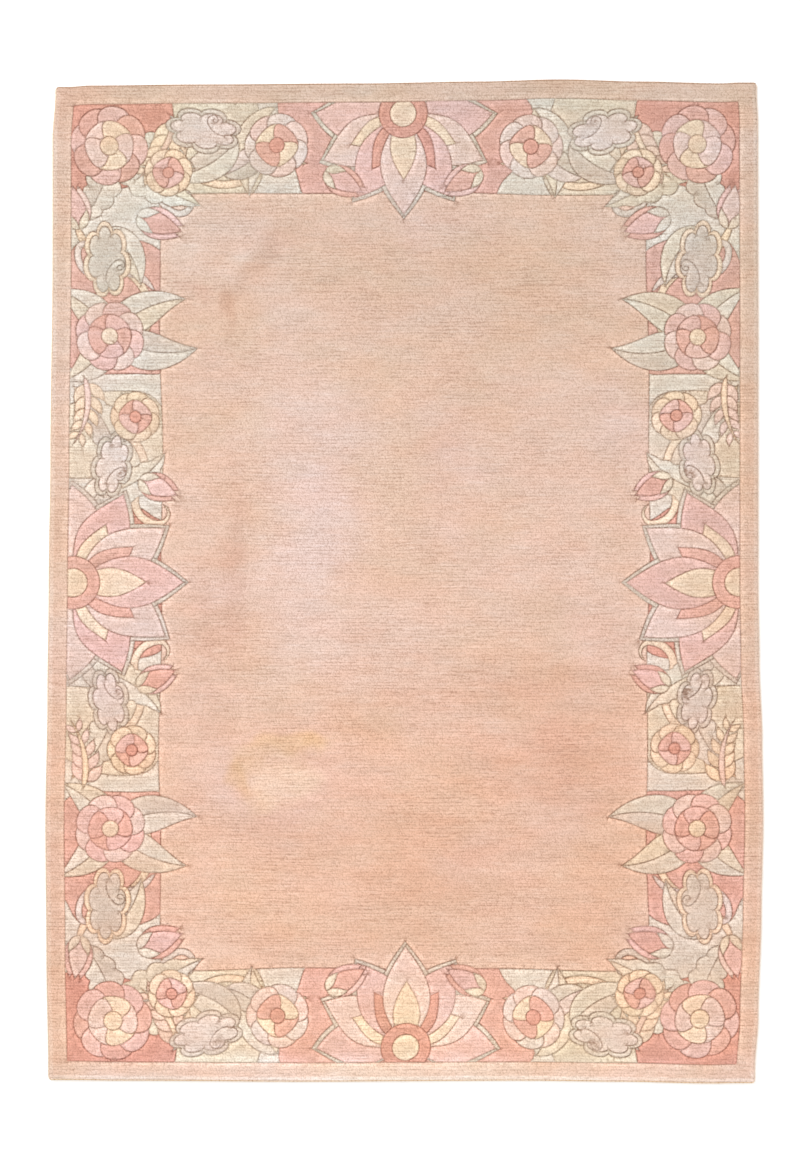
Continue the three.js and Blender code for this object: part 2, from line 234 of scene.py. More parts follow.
@dataclass(frozen=True)
class Spot:
    """A soft oval place on the pile with a tone of its own: a stain, pile that leans another way, painted
    shade along an old fold, or a painted highlight beside one.

    Its tone is full over its core, which is a share of its reach, and fades to nothing at its reach.
    """

    x: float
    y: float
    reach_x: float
    reach_y: float
    turn: float
    tone: Tone
    core: float = 0.0


@dataclass(frozen=True)
class Patches:
    """Cloudy noise: the grain along each axis in millimetres, the finer octaves, a shift that sets its
    pattern apart from others, the stretch of it that counts, and what the ends of that stretch become."""

    grain: tuple[float, float, float]
    octaves: float
    shift: float
    span: tuple[float, float] = (0.0, 1.0)
    ends: tuple[float, float] = (0.0, 1.0)


@dataclass(frozen=True)
class Mottle:
    """Soft clouds of one tone in another."""

    clouds: Patches
    first: Tone
    second: Tone


@dataclass
class WoolPile:
    """Hand-spun wool, dyed in small lots, knotted and cut: quite matt, with a faint halo of loose fibre.

    The lots of yarn give the pile soft clouds. Painted shade darkens the gaps between the knots and, in
    broken dark dashes, the partings between the knotted rows; the carved lines show the darker depth of
    the pile with painted shade in their grooves, and a painted highlight on their lips. A tone is what the
    yarn's colour is multiplied by. Each sway of the rows is a grain and a reach, each kind of dash a
    spacing in rows, a length, a shift and a strength, and each kind of streak along the rows a length, a
    shift and a span.
    """

    spots: tuple[Spot, ...] = ()
    row_pitch: float = 4.4
    knot: float = 3.3
    knot_shift: float = 0.381
    under_light: float = 0.83
    sways: tuple[tuple[tuple[float, float, float], float], ...] = (((420, 300, 300), 16), ((60, 17, 17), 8))
    lots: tuple[Mottle, ...] = (
        Mottle(Patches((330, 240, 300), 2.0, 1.3, (0.38, 0.64)), (1.0, 0.992, 1.02), (0.985, 0.955, 0.92)),
        Mottle(Patches((90, 44, 30), 1.0, 8.1, (0.3, 0.7)), (0.975, 0.968, 0.958), (1.016, 1.02, 1.028)),
        Mottle(Patches((130, 56, 40), 2.0, 17.0, (0.32, 0.68)), (0.988, 1.01, 1.022), (1.014, 0.978, 0.962)),
    )
    streaks: Mottle = Mottle(
        Patches((210, 34, 30), 1.0, 23.0, (0.32, 0.68)), (0.972, 0.962, 0.955), (1.022, 1.032, 1.042))
    streaks_span: tuple[float, float] = (0.10, -0.22)
    dashes: tuple[tuple[float, float, float, float], ...] = ((2, 44, 7.0, 0.9), (1.5, 26, 21.0, 0.85))
    dash_patches: Patches = Patches((230, 110, 200), 2.0, 11.0, (0.36, 0.62), (0.5, 1.0))
    dull: tuple[float, ...] = (26, 1.0, 0.32, 0.68)
    bleached: tuple[float, ...] = (60, 13.0, 0.55, 0.74)
    beads: Patches = Patches((6.0, 4.6, 6.0), 1.0, 9.0, (0.36, 0.58), (0.25, 1.0))
    deep: Patches = Patches((95, 80, 60), 1.0, 3.0, (0.3, 0.6), (0.5, 1.0))
    rough: Patches = Patches((45, 30, 30), 1.0, 5.0)
    rows_apart: float = 5.37
    gap_span: tuple[float, float] = (0.3, 0.8)
    parting_noise: tuple[float, ...] = (0.34, 0.62, 0.15, 1.0)
    parting_span: tuple[float, float] = (0.42, 0.10)
    dot_span: tuple[float, ...] = (0.1, 0.8, 1.0, 0.55)
    groove_strength: float = 1.1
    relief: float = 1.4
    wander: float = 35
    wander_scale: float = 14.0
    # Lighter and warmer towards the bottom, darker and duller towards the top: partly the yarn's fading,
    # partly painted light.
    bottom_tone: Tone = (1.02, 0.985, 0.96)
    middle_tone: Tone = (0.975, 1.02, 1.06)
    top_tone: Tone = (0.87, 0.95, 0.985)
    middle_span: tuple[float, float] = (-0.46, -0.10)
    top_span: tuple[float, float] = (-0.05, 0.9)
    # Painted shade: this tone darkens the gaps between the knots.
    gap_shade_tone: Tone = (0.80, 0.76, 0.73)
    knot_tones: tuple[Tone, Tone] = ((0.935, 0.92, 0.905), (1.05, 1.055, 1.06))
    dull_tone: Tone = (0.965, 0.955, 0.948)
    bleached_tone: Tone = (1.035, 1.07, 1.10)
    # Painted shade: this tone darkens the dashes where the knotted rows part.
    parting_shade_tone: Tone = (0.72, 0.645, 0.60)
    # The carved lines' darker depth of the pile together with painted shade in their grooves.
    groove_depth_and_shade_tone: Tone = (0.54, 0.44, 0.38)
    # Painted highlight: this tone lightens the lips beside the carved lines.
    lip_highlight_tone: Tone = (1.26, 1.29, 1.31)
    # Painted light: this tone makes the pile's sides paler.
    rim_light_tone: Tone = (1.13, 1.27, 1.36)
    add: Callable[..., Socket] = field(init=False)
    coords: Socket = field(init=False)
    x: Socket = field(init=False)
    y: Socket = field(init=False)

    def noise_of(self, grain: Sequence[float], octaves: float, shift: float) -> Socket:
        """Cloudy noise from 0 to 1, with the values that Patches names."""
        mapped = self.add("ShaderNodeMapping", {"vector_type": "POINT"}, {
            "Vector": self.coords, "Location": (shift, shift * 1.7, 0),
            "Scale": [1 / (size * MM) for size in grain]})
        return self.add("ShaderNodeTexNoise", None,
                        {"Vector": mapped, "Scale": 1.0, "Detail": octaves, "Roughness": 0.55})

    def share_of(self, kind: Patches) -> Socket:
        """How strongly a kind of patches shows at each point."""
        cloud = self.noise_of(kind.grain, kind.octaves, kind.shift)
        return self.add("ShaderNodeMapRange", SMOOTH, (cloud, *kind.span, *kind.ends))

    def mottled(self, mottle: Mottle) -> Socket:
        """The tone of soft clouds at each point."""
        return self.add("ShaderNodeMix", BLEND, {
            0: self.share_of(mottle.clouds), 6: (*mottle.first, 1), 7: (*mottle.second, 1)}, 2)

    def row_place(self, pitch: float, shift: float) -> tuple[Socket, Socket]:
        """Which knotted row a point lies in, and how far up in it. The rows sway slowly and quickly.

        Args:
            pitch: from one row to the next, in millimetres.
            shift: moves the sway.

        Returns:
            The row's whole number, and the share of the way up to the next row.
        """
        slow, quick = (self.add("ShaderNodeMath", TIMES, (self.noise_of(grain, 1.0, shift), reach * MM))
                       for grain, reach in self.sways)
        sway = self.add("ShaderNodeMath", PLUS, (slow, quick))
        height = self.add("ShaderNodeMath", PLUS, (self.y, sway))
        count = self.add("ShaderNodeMath", DIVIDED, (height, pitch * MM))
        row, up = (self.add("ShaderNodeMath", {"operation": part}, (count,)) for part in ("FLOOR", "FRACT"))
        return row, up

    def along_rows(self, row: Socket, dash: float, shift: float, *span: float) -> Socket:
        """Noise that runs along each row on its own.

        Args:
            row: the number of the row.
            dash: the usual length of a streak, in millimetres.
            shift: moves the pattern.
            span: the stretch of the noise that counts, and what its ends become where that isn't 0 and 1.

        Returns:
            The noise, smoothly spread from end to end.
        """
        along = self.add("ShaderNodeMath", TIMES, (self.x, 1 / (dash * MM)))
        apart = self.add("ShaderNodeMath", TIMES_PLUS, (row, self.rows_apart, shift))
        place = self.add("ShaderNodeCombineXYZ", None, (along, apart))
        streaks = self.add("ShaderNodeTexNoise", {"noise_dimensions": "2D"},
                           {"Vector": place, "Scale": 1.0, "Detail": 2.0, "Roughness": 0.6})
        return self.add("ShaderNodeMapRange", SMOOTH, (streaks, *span))

    def partings(self, rows: float, dash: float, shift: float) -> Socket:
        """Broken dark dashes of painted shade where rows of knots part.

        Args:
            rows: how many rows lie from one line of dashes to the next.
            dash: the usual length of a dash, in millimetres.
            shift: moves the pattern.

        Returns:
            The depth of the parting from 0 to 1.
        """
        row, up = self.row_place(self.row_pitch * rows, shift)
        strength = self.along_rows(row, dash, shift, *self.parting_noise)
        low_in_row = self.add("ShaderNodeMapRange", SMOOTH, (up, *self.parting_span))
        return self.add("ShaderNodeMath", TIMES, (strength, low_in_row))

    def knots(self, row: Socket, up: Socket) -> tuple[Socket, Socket]:
        """The cut ends of the knots, set along the rows, each row's a little beside the last row's.

        Args:
            row: the number of the row.
            up: the share of the way up to the next row.

        Returns:
            How far a point lies from the middle of its knot, and a random value for each knot.
        """
        along = self.add("ShaderNodeMath", TIMES, (self.x, 1 / (self.knot * MM)))
        beside = self.add("ShaderNodeMath", TIMES_PLUS, (row, self.knot_shift, along))
        count = self.add("ShaderNodeMath", PLUS, (row, up))
        place = self.add("ShaderNodeCombineXYZ", None, (beside, count))
        cells = self.add("ShaderNodeTexVoronoi", {"voronoi_dimensions": "2D"},
                         {"Vector": place, "Scale": 1.0, "Randomness": 0.8}).node.outputs
        return cells["Distance"], self.add("ShaderNodeSeparateColor", None, (cells["Color"],))

    def wandered(self) -> Socket:
        """The coordinates, wandering a little, so that no spot has a plain oval edge."""
        reach = np.array([self.wander * MM, self.wander * MM, 0])
        cloud = self.add("ShaderNodeTexNoise", None,
                         {"Vector": self.coords, "Scale": self.wander_scale, "Detail": 1.0}, "Color")
        moved = self.add("ShaderNodeVectorMath", TIMES_PLUS, (cloud, reach * 2, self.coords))
        return self.add("ShaderNodeVectorMath", MINUS, (moved, reach))

    def spot_share(self, loose: Socket, spot: Spot) -> Socket:
        """How strongly a soft oval place shows at each point."""
        local = self.add("ShaderNodeMapping", {"vector_type": "TEXTURE"}, {
            "Vector": loose, "Location": (spot.x * MM, spot.y * MM, PILE_TOP * MM),
            "Rotation": (0, 0, math.radians(spot.turn)), "Scale": (spot.reach_x * MM, spot.reach_y * MM, 1)})
        away = self.add("ShaderNodeVectorMath", {"operation": "LENGTH"}, (local,), "Value")
        return self.add("ShaderNodeMapRange", SMOOTH, (away, 1.0, spot.core))

    def dye_layers(self) -> list[Layer]:
        """The clouds of the dye lots, a tone from a duller top over a cooler middle to a warmer bottom that
        is partly the yarn's fading and partly painted light, the broad streaks of the lower half, and the
        spots."""
        loose = self.wandered()
        height = self.add("ShaderNodeSeparateXYZ", None, (loose,), "Y")
        # The tone by height is partly the yarn's fading and partly painted light.
        fading_and_light = (*self.bottom_tone, 1)
        for span, tone in ((self.middle_span, self.middle_tone), (self.top_span, self.top_tone)):
            share = self.add("ShaderNodeMapRange", SMOOTH, (height, *span))
            fading_and_light = self.add("ShaderNodeMix", BLEND, {0: share, 6: fading_and_light, 7: (*tone, 1)}, 2)
        low = self.add("ShaderNodeMapRange", SMOOTH, (height, *self.streaks_span))
        return [*((1.0, self.mottled(lot)) for lot in self.lots), (1.0, fading_and_light),
                (low, self.mottled(self.streaks)),
                *((self.spot_share(loose, spot), spot.tone) for spot in self.spots)]

    def row_layers(self, gaps: Socket, own: Socket, row: Socket, partings: Sequence[Socket]) -> list[Layer]:
        """The knots with painted shade in the gaps between them, the streaks along their rows, and the dark
        dashes of painted shade where the rows part, which some patches show more.

        Args:
            gaps: how near a point lies to the gap between two knots.
            own: a random value for each knot.
            row: the number of the row.
            partings: the coarse and the fine dashes.

        Returns:
            The layers from the lowest to the uppermost.
        """
        knot_tone = self.add("ShaderNodeMix", BLEND,
                             {0: own, 6: (*self.knot_tones[0], 1), 7: (*self.knot_tones[1], 1)}, 2)
        dull, bleached = (self.along_rows(row, *streak) for streak in (self.dull, self.bleached))
        coarse, fine = (self.add("ShaderNodeMath", TIMES, (parting, strength))
                        for parting, (*_, strength) in zip(partings, self.dashes))
        dashes = self.add("ShaderNodeMath", LARGER, (coarse, fine))
        dotted = self.add("ShaderNodeMapRange", SMOOTH, (own, *self.dot_span))
        for factor in (self.share_of(self.dash_patches), dotted):
            dashes = self.add("ShaderNodeMath", TIMES, (dashes, factor))
        # The gap tone and the parting tone paint shade between the knots and between the rows.
        return [(gaps, self.gap_shade_tone), (1.0, knot_tone), (dull, self.dull_tone),
                (bleached, self.bleached_tone), (dashes, self.parting_shade_tone)]

    def carved_layers(self) -> list[Layer]:
        """The carved lines with their darker depth and painted shade, beaded where they cross the rows, a
        painted highlight on their lips, and painted light that makes the pile's sides paler.
        """
        carve, lip, rim = (self.add("ShaderNodeAttribute", {"attribute_name": name}, output="Fac")
                           for name in ("carve", "lip", "rim"))
        deep = self.share_of(self.deep)
        # The line's tone is the darker depth of the pile and painted shade in the groove.
        line = carve
        for factor in (self.share_of(self.beads), self.groove_strength, deep):
            line = self.add("ShaderNodeMath", TIMES, (line, factor))
        # Painted highlight on the lips beside the carved lines.
        lip = self.add("ShaderNodeMath", TIMES, (lip, deep))
        # The rim attribute carries painted light on the pile's sides.
        return [(lip, self.lip_highlight_tone), (line, self.groove_depth_and_shade_tone), (rim, self.rim_light_tone)]

    def material(self) -> bpy.types.Material:
        """Builds the pile's material.

        Returns:
            The material, which reads the pile's attributes yarn, carve, lip and rim.
        """
        made, self.add = empty_material("wool_pile")
        self.coords = self.add("ShaderNodeTexCoord", output="Object")
        self.x, self.y, _ = self.add("ShaderNodeSeparateXYZ", None, (self.coords,)).node.outputs
        row, up = self.row_place(self.row_pitch, 2.0)
        from_middle, own = self.knots(row, up)
        gaps = self.add("ShaderNodeMapRange", SMOOTH, (from_middle, *self.gap_span))
        partings = [self.partings(*dash) for *dash, _ in self.dashes]
        colour = self.add("ShaderNodeAttribute", {"attribute_name": "yarn"}, output="Color")
        layers = [*self.dye_layers(), *self.row_layers(gaps, own, row, partings), *self.carved_layers(),
                  (1.0, (self.under_light,) * 3)]
        for share, tone in layers:
            tone = (*tone, 1) if isinstance(tone, tuple) else tone
            colour = self.add("ShaderNodeMix", TINT, {0: share, 6: colour, 7: tone}, 2)

        # Relief finer than the mesh
        rough = self.noise_of(self.rough.grain, self.rough.octaves, self.rough.shift)
        own_half, rough_half = (self.add("ShaderNodeMath", TIMES, (height, 0.5)) for height in (own, rough))
        tufts = self.add("ShaderNodeMath", MINUS, (own_half, gaps))
        rows = self.add("ShaderNodeMath", PLUS, (tufts, rough_half))
        relief = self.add("ShaderNodeMath", MINUS, (rows, partings[0]))
        bump = self.add("ShaderNodeBump", None,
                        {"Strength": 0.5, "Distance": self.relief * MM, "Height": relief})
        return surfaced(made, {"Base Color": colour, "Normal": bump, "Roughness": 0.95, "IOR": 1.54,
                               "Specular IOR Level": 0.2, "Sheen Weight": 0.12, "Sheen Roughness": 0.6})


@dataclass(frozen=True)
class OvercastYarn:
    """Plied wool and cotton yarn wound round an edge cord by hand: matt, ribbed, with worn darker turns.

    Single fibres are too fine to show, so the fibre is drawn about 1.4 mm coarse. The scales are grains in
    a metre.
    """

    name: str
    yarn: str
    worn: str
    fibre_scale: float = 700.0
    wear_scale: float = 26.0

    def material(self) -> bpy.types.Material:
        """Builds the yarn's material.

        Returns:
            The material, which reads the attribute tint that each turn of yarn has.
        """
        made, add = empty_material(self.name)
        coords = add("ShaderNodeTexCoord", output="Object")
        tint = add("ShaderNodeAttribute", {"attribute_name": "tint"}, output="Fac")
        fibre, wear = (add("ShaderNodeTexNoise", None, {"Vector": coords, "Scale": scale, "Detail": detail})
                       for scale, detail in ((self.fibre_scale, 2.0), (self.wear_scale, 3.0)))
        worn = add("ShaderNodeMapRange", None, (wear, 0.35, 0.65, 0.55, 1.0))
        share = add("ShaderNodeMath", TIMES, (tint, worn))
        base = add("ShaderNodeMix", BLEND, {0: share, 6: linear(self.yarn), 7: linear(self.worn)}, 2)
        dark = add("ShaderNodeMix", TINT, {0: fibre, 6: base, 7: (0.86, 0.84, 0.82, 1)}, 2)
        bump = add("ShaderNodeBump", None, {"Strength": 0.5, "Distance": 0.0004, "Height": fibre})
        return surfaced(made, {"Base Color": dark, "Normal": bump, "Roughness": 0.9, "IOR": 1.54,
                               "Specular IOR Level": 0.25, "Sheen Weight": 0.1, "Sheen Roughness": 0.5})


@dataclass(frozen=True)
class PaleFloor:
    """A plain painted studio floor: nearly white and quite matt."""

    colour: str = "F7F6F4"

    def material(self) -> bpy.types.Material:
        """Builds the floor's material."""
        made, _ = empty_material("pale_floor")
        return surfaced(
            made, {"Base Color": linear(self.colour), "Roughness": 1.0, "Specular IOR Level": 0.0})


# The rug's outline

class Side(Enum):
    """The four sides of the rug, counter-clockwise from the bottom."""

    BOTTOM = 0
    RIGHT = 1
    TOP = 2
    LEFT = 3

    @property
    def upright(self) -> bool:
        """Whether the side runs along Y."""
        return self in (Side.RIGHT, Side.LEFT)

    @property
    def way(self) -> int:
        """1 for a side on the plus side of its axis, and -1 for one on the minus side."""
        return 1 if self in (Side.RIGHT, Side.TOP) else -1

    def further(self, steps: int) -> "Side":
        """The side that lies some steps further round the rug."""
        return Side((self.value + steps) % len(Side))


@dataclass
class RugEdge:
    """The rug's wavering outline, and rings that run inside it.

    Each waver table gives, along one side from its middle, how far the edge lies outside the plain
    rectangle.
    """

    half_width: float = 855
    half_length: float = 1200
    corner_radius: float = 9
    step: float = 9
    bend_points: int = 5
    tightest: float = 2.5
    waver: dict[Side, Rows] = field(default_factory=lambda: {
        Side.BOTTOM: ((-800, -2.5), (-680, -1), (-250, 1.5), (280, -1), (520, 1.5), (740, 6), (810, 5)),
        Side.RIGHT: ((-1170, -12), (-1050, -4), (-800, 3.5), (-570, 8), (-380, 5.5), (-190, -1.5), (0, -4),
                     (560, -4), (1100, -5), (1170, -8)),
        Side.TOP: ((-810, -12), (-750, -8.5), (-490, -6), (-100, -3.5), (180, 1), (373, 6), (565, 1),
                   (760, -3.5), (810, -1.5)),
        Side.LEFT: ((-1170, 1), (-900, 5.5), (-580, 8), (-280, 3), (0, 0), (300, -4), (770, -9), (1060, -9),
                    (1170, -16)),
    })

    def out(self, side: Side, at: np.ndarray) -> np.ndarray:
        """How far a side lies outside the plain rectangle, eased from one row of its table to the next."""
        rows = np.array(self.waver[side])
        place = np.clip(np.searchsorted(rows[:, 0], at) - 1, 0, len(rows) - 2)
        share = np.clip((at - rows[place, 0]) / (rows[place + 1, 0] - rows[place, 0]), 0, 1)
        eased = share * share * (3 - 2 * share)
        return rows[place, 1] + (rows[place + 1, 1] - rows[place, 1]) * eased

    def halves(self, side: Side) -> tuple[float, float]:
        """Half the rug's size along a side, and across it."""
        sizes = (self.half_length, self.half_width)
        return sizes if side.upright else sizes[::-1]

    def ends(self, side: Side) -> tuple[float, float]:
        """Where a side's two corners lie, along that side."""
        along, across = self.halves(side)
        corner = np.array([side.way * across])
        first, last = (Side.BOTTOM, Side.TOP) if side.upright else (Side.LEFT, Side.RIGHT)
        return -along - float(self.out(first, corner)[0]), along + float(self.out(last, corner)[0])

    def line(self, side: Side, inset: float) -> Loop:
        """One side between its corner bends, counter-clockwise round the rug.

        Args:
            side: which side.
            inset: how far inside the rug's edge the line runs.

        Returns:
            The line's points.
        """
        low, high = self.ends(side)
        bend = max(self.corner_radius, inset + self.tightest)
        at = np.linspace(low + bend, high - bend, round((high - low) / self.step))
        away = side.way * (self.halves(side)[1] + (self.out(side, at) - inset))
        points = np.stack([away, at] if side.upright else [at, away], 1)
        return points[::-1] if side in (Side.TOP, Side.LEFT) else points

    def bend(self, side: Side, inset: float) -> Loop:
        """The corner bend that follows a side."""
        start = self.line(side, inset)[-1]
        end = self.line(side.further(1), inset)[0]
        centre = np.array([end[0], start[1]] if side.upright else [start[0], end[1]])
        angles = np.linspace(0, math.pi / 2, self.bend_points + 2)[1:-1, None]
        return centre + (start - centre) * np.cos(angles) + (end - centre) * np.sin(angles)

    def wear(self, points: Loop) -> np.ndarray:
        """How much painted light makes the pile's sides paler: most along the bottom, half as much at the
        left and right.
        """
        upright = self.half_width - np.abs(points[:, 0]) < self.half_length - np.abs(points[:, 1])
        return np.where(upright, 0.5, np.where(points[:, 1] < 0, 1.0, 0.0))

    def ring(self, inset: float) -> Loop:
        """The whole outline, moved in from the rug's edge by an inset."""
        return np.concatenate([part(side, inset) for side in Side for part in (self.line, self.bend)])


# The border's motifs

STEP = 6.0
SHARPEST_BEND = 12
FEWEST_POINTS = 14
LOBE_DEPTH = 0.22


def bent_path(arcs: Sequence[tuple[float, float]], step: float = STEP) -> tuple[Loop, np.ndarray]:
    """The points of a path of even bends, from the origin along +X.

    Args:
        arcs: the length and the turn in degrees of each bend.
        step: the usual distance between points.

    Returns:
        The points, and the path's heading at each.
    """
    x = y = heading = 0.0
    points, headings = [(x, y)], [heading]
    for length, bend in arcs:
        count = max(3, math.ceil(length / step), int(abs(bend) / SHARPEST_BEND))
        turn = math.radians(bend) / count
        for _ in range(count):
            heading += turn / 2
            x += length / count * math.cos(heading)
            y += length / count * math.sin(heading)
            heading += turn / 2
            points.append((x, y))
            headings.append(heading)
    return np.array(points), np.array(headings)


def ribbon(points: Loop, headings: np.ndarray, half_width: np.ndarray) -> tuple[Loop, Loop]:
    """The left and right edges of a strip about a path."""
    side = np.stack([-np.sin(headings), np.cos(headings)], 1) * half_width[:, None]
    return points + side, points - side


def joined(left: Loop, right: Loop) -> Loop:
    """Joins two edges that meet at both ends into one loop."""
    return np.concatenate([left, right[::-1][1:-1]])


def blade(length: float, width: float, bend: float, fatness: float = 0.75,
          lobes: int = 0) -> tuple[Loop, Loop, Loop]:
    """A pointed leaf or petal.

    Args:
        length: along its rib.
        width: across its widest place.
        bend: how far its rib turns, in degrees.
        fatness: under 1 it is widest before its middle.
        lobes: how many soft lobes each edge has.

    Returns:
        Its rib, its left edge and its right edge.
    """
    rib, headings = bent_path([(length, bend)])
    share = np.linspace(0, 1, len(rib))
    half = width / 2 * np.sin(np.pi * share ** fatness)
    if lobes:
        half = half * (1 - LOBE_DEPTH * (1 - np.abs(np.sin(np.pi * lobes * share))))
    left, right = ribbon(rib, headings, half)
    return rib, left, right


def petal(length: float, width: float, bend: float, fatness: float = 1.0) -> Loop:
    """A pointed petal as one loop."""
    _, left, right = blade(length, width, bend, fatness)
    return joined(left, right)


def disc(radius: float) -> Loop:
    """A round centre."""
    count = max(FEWEST_POINTS, int(radius * 2 * math.pi / STEP))
    angles = np.linspace(0, 2 * np.pi, count, endpoint=False)
    return radius * np.stack([np.cos(angles), np.sin(angles)], 1)


def round_petal(length: float, width: float) -> Loop:
    """A petal from the origin along +X, narrow at its foot and round at its tip."""
    count = max(FEWEST_POINTS, int((length + width) * 1.6 / STEP))
    turn = np.linspace(0, 2 * np.pi, count, endpoint=False)
    x = length / 2 * (1 - np.cos(turn))
    return np.stack([x, width / 2 * np.sin(turn) * (0.4 + 0.6 * x / length) * 1.18], 1)


@dataclass
class Motif:
    """One motif of the border, drawn about its own foot along +X and then turned into place."""

    x: float
    y: float
    turn: float
    dyes: tuple[Dye, ...]
    swaps_dyes: ClassVar[bool] = True

    def areas(self, dyes: Sequence[Dye]) -> Areas:
        """The motif's patches of pile from the lowest to the uppermost."""
        raise NotImplementedError

    def lines(self) -> list[Loop]:
        """The open lines that are carved into it."""
        return []


@dataclass
class DyeGround(Motif):
    """A patch of ground colour with soft corners, behind the other motifs."""

    reach_x: float = 0
    reach_y: float = 0
    roundness: float = 0.62
    points: int = 72
    swaps_dyes: ClassVar[bool] = False

    def areas(self, dyes: Sequence[Dye]) -> Areas:
        """One soft rectangle with wavy sides."""
        angles = np.linspace(0, 2 * np.pi, self.points, endpoint=False)
        sway = 1 + 0.07 * np.sin(3 * angles + self.x) + 0.04 * np.sin(5 * angles + self.y)
        square = np.stack([np.sign(part) * np.abs(part) ** self.roundness
                           for part in (np.cos(angles), np.sin(angles))], 1)
        return [(square * sway[:, None] * (self.reach_x, self.reach_y), dyes[0])]


@dataclass
class Stem(Motif):
    """A curling stem of even width with tapered ends."""

    width: float = 0
    arcs: Rows = ()

    def areas(self, dyes: Sequence[Dye]) -> Areas:
        """One strip about the stem's bends."""
        points, headings = bent_path(self.arcs)
        walked = np.concatenate([[0], np.cumsum(np.linalg.norm(np.diff(points, axis=0), axis=1))])
        share = walked / walked[-1]
        half = self.width / 2 * np.minimum(1, np.minimum(6 * share + 0.3, 5 * (1 - share) + 0.15))
        return [(joined(*ribbon(points, headings, half)), dyes[0])]


@dataclass
class Leaf(Motif):
    """A pointed leaf in two tones about its rib, with plain or lobed edges."""

    length: float = 0
    width: float = 0
    bend: float = 0
    lobes: int = 0

    def areas(self, dyes: Sequence[Dye]) -> Areas:
        """The whole leaf, and its darker half over it."""
        rib, left, right = blade(self.length, self.width, self.bend, lobes=self.lobes)
        return [(joined(left, right), dyes[0]), (joined(rib, right), dyes[1])]


@dataclass
class Fern(Motif):
    """A fern leaf with paired leaflets that grow shorter towards its tip."""

    length: float = 0
    bend: float = 0
    pairs: int = 5
    leaflet: float = 0.42
    leaflet_width: float = 0.44
    spread: float = 52
    rib_width: float = 15
    rib_share: float = 1.12

    def areas(self, dyes: Sequence[Dye]) -> Areas:
        """The leaflets, and the rib over them."""
        rib, headings = bent_path([(self.length, self.bend)], self.length / (self.pairs * 2))
        drawn = []
        for k in range(1, len(rib) - 1, 2):
            reach = self.length * self.leaflet * (1 - 0.5 * k / (len(rib) - 1))
            for side in (1, -1):
                leaflet = petal(reach, reach * self.leaflet_width, -side * 30, 0.9)
                heading = math.degrees(headings[k]) + side * self.spread
                drawn.append((turned(leaflet, heading) + rib[k], dyes[0]))
        over = petal(self.length * self.rib_share, self.rib_width, self.bend * self.rib_share, 0.5)
        return [*drawn, (over, dyes[1])]


@dataclass
class Cloud(Motif):
    """A lobed cloud with an edging and a curl."""

    length: float = 0
    edging: float = 12
    notch: float = 0.20
    flatness: float = 0.3
    curl: Rows = ((0.30, 60), (0.24, 200), (0.12, 220))
    curl_foot: tuple[float, float] = (-0.27, -0.03)
    points: int = 84
    swaps_dyes: ClassVar[bool] = False

    def areas(self, dyes: Sequence[Dye]) -> Areas:
        """The edging, and the cloud's body over it."""
        angles = np.linspace(0, 2 * np.pi, self.points, endpoint=False)
        reach = 1 - self.notch * (1 - np.abs(np.cos(3.5 * angles)) ** 0.7)
        drawn = []
        for inset, dye in ((0, dyes[1]), (self.edging, dyes[0])):
            x = (self.length / 2 * reach - inset) * np.cos(angles)
            y = (self.length * self.flatness * reach - inset) * np.sin(angles)
            drawn.append((np.stack([x, y], 1), dye))
        return drawn

    def lines(self) -> list[Loop]:
        """The curl inside the cloud."""
        curl, _ = bent_path([(self.length * share, bend) for share, bend in self.curl])
        return [curl + (self.length * self.curl_foot[0], self.length * self.curl_foot[1])]


@dataclass
class Lotus(Motif):
    """A lotus seen from the side: a fan of pointed petals with an edging, inner petals and a heart."""

    radius: float = 0
    petals: int = 7
    edging: float = 12
    petal_width: float = 0.46
    inner_size: tuple[float, float] = (0.66, 0.26)
    inner_reach: float = 2.6
    spread: float = 150
    heart: float = 0.24
    heart_middle: float = 0.13
    swaps_dyes: ClassVar[bool] = False

    def fan_petal(self, place: float, length: float, width: float, grown: float = 0.0) -> Loop:
        """One petal of the fan.

        Args:
            place: how many petals it lies from the middle one.
            length: from the foot to the tip.
            width: across its widest place.
            grown: how far it reaches out on all sides, for the edging.

        Returns:
            The petal's loop.
        """
        drawn = petal(length * (1 - 0.04 * abs(place)) + grown, width + 1.6 * grown, place * 10)
        return turned(drawn, place * self.spread / (self.petals - 1))

    def areas(self, dyes: Sequence[Dye]) -> Areas:
        """The edging, the petals from the outer ones inwards, and the heart."""
        middle = (self.petals - 1) / 2
        places = sorted((k - middle for k in range(self.petals)), key=lambda place: -abs(place))
        size, width = self.radius, self.radius * self.petal_width
        inner_length, inner_width = (size * share for share in self.inner_size)
        drawn = [(self.fan_petal(place, size, width, self.edging), dyes[4]) for place in places]
        for place in places:
            odd = int(abs(place)) % 2
            drawn.append((self.fan_petal(place, size, width), dyes[odd]))
            if abs(place) < self.inner_reach:
                drawn.append((self.fan_petal(place, inner_length, inner_width), dyes[2 + odd]))
        return drawn + [(disc(size * self.heart), dyes[3]), (disc(size * self.heart_middle), dyes[2])]


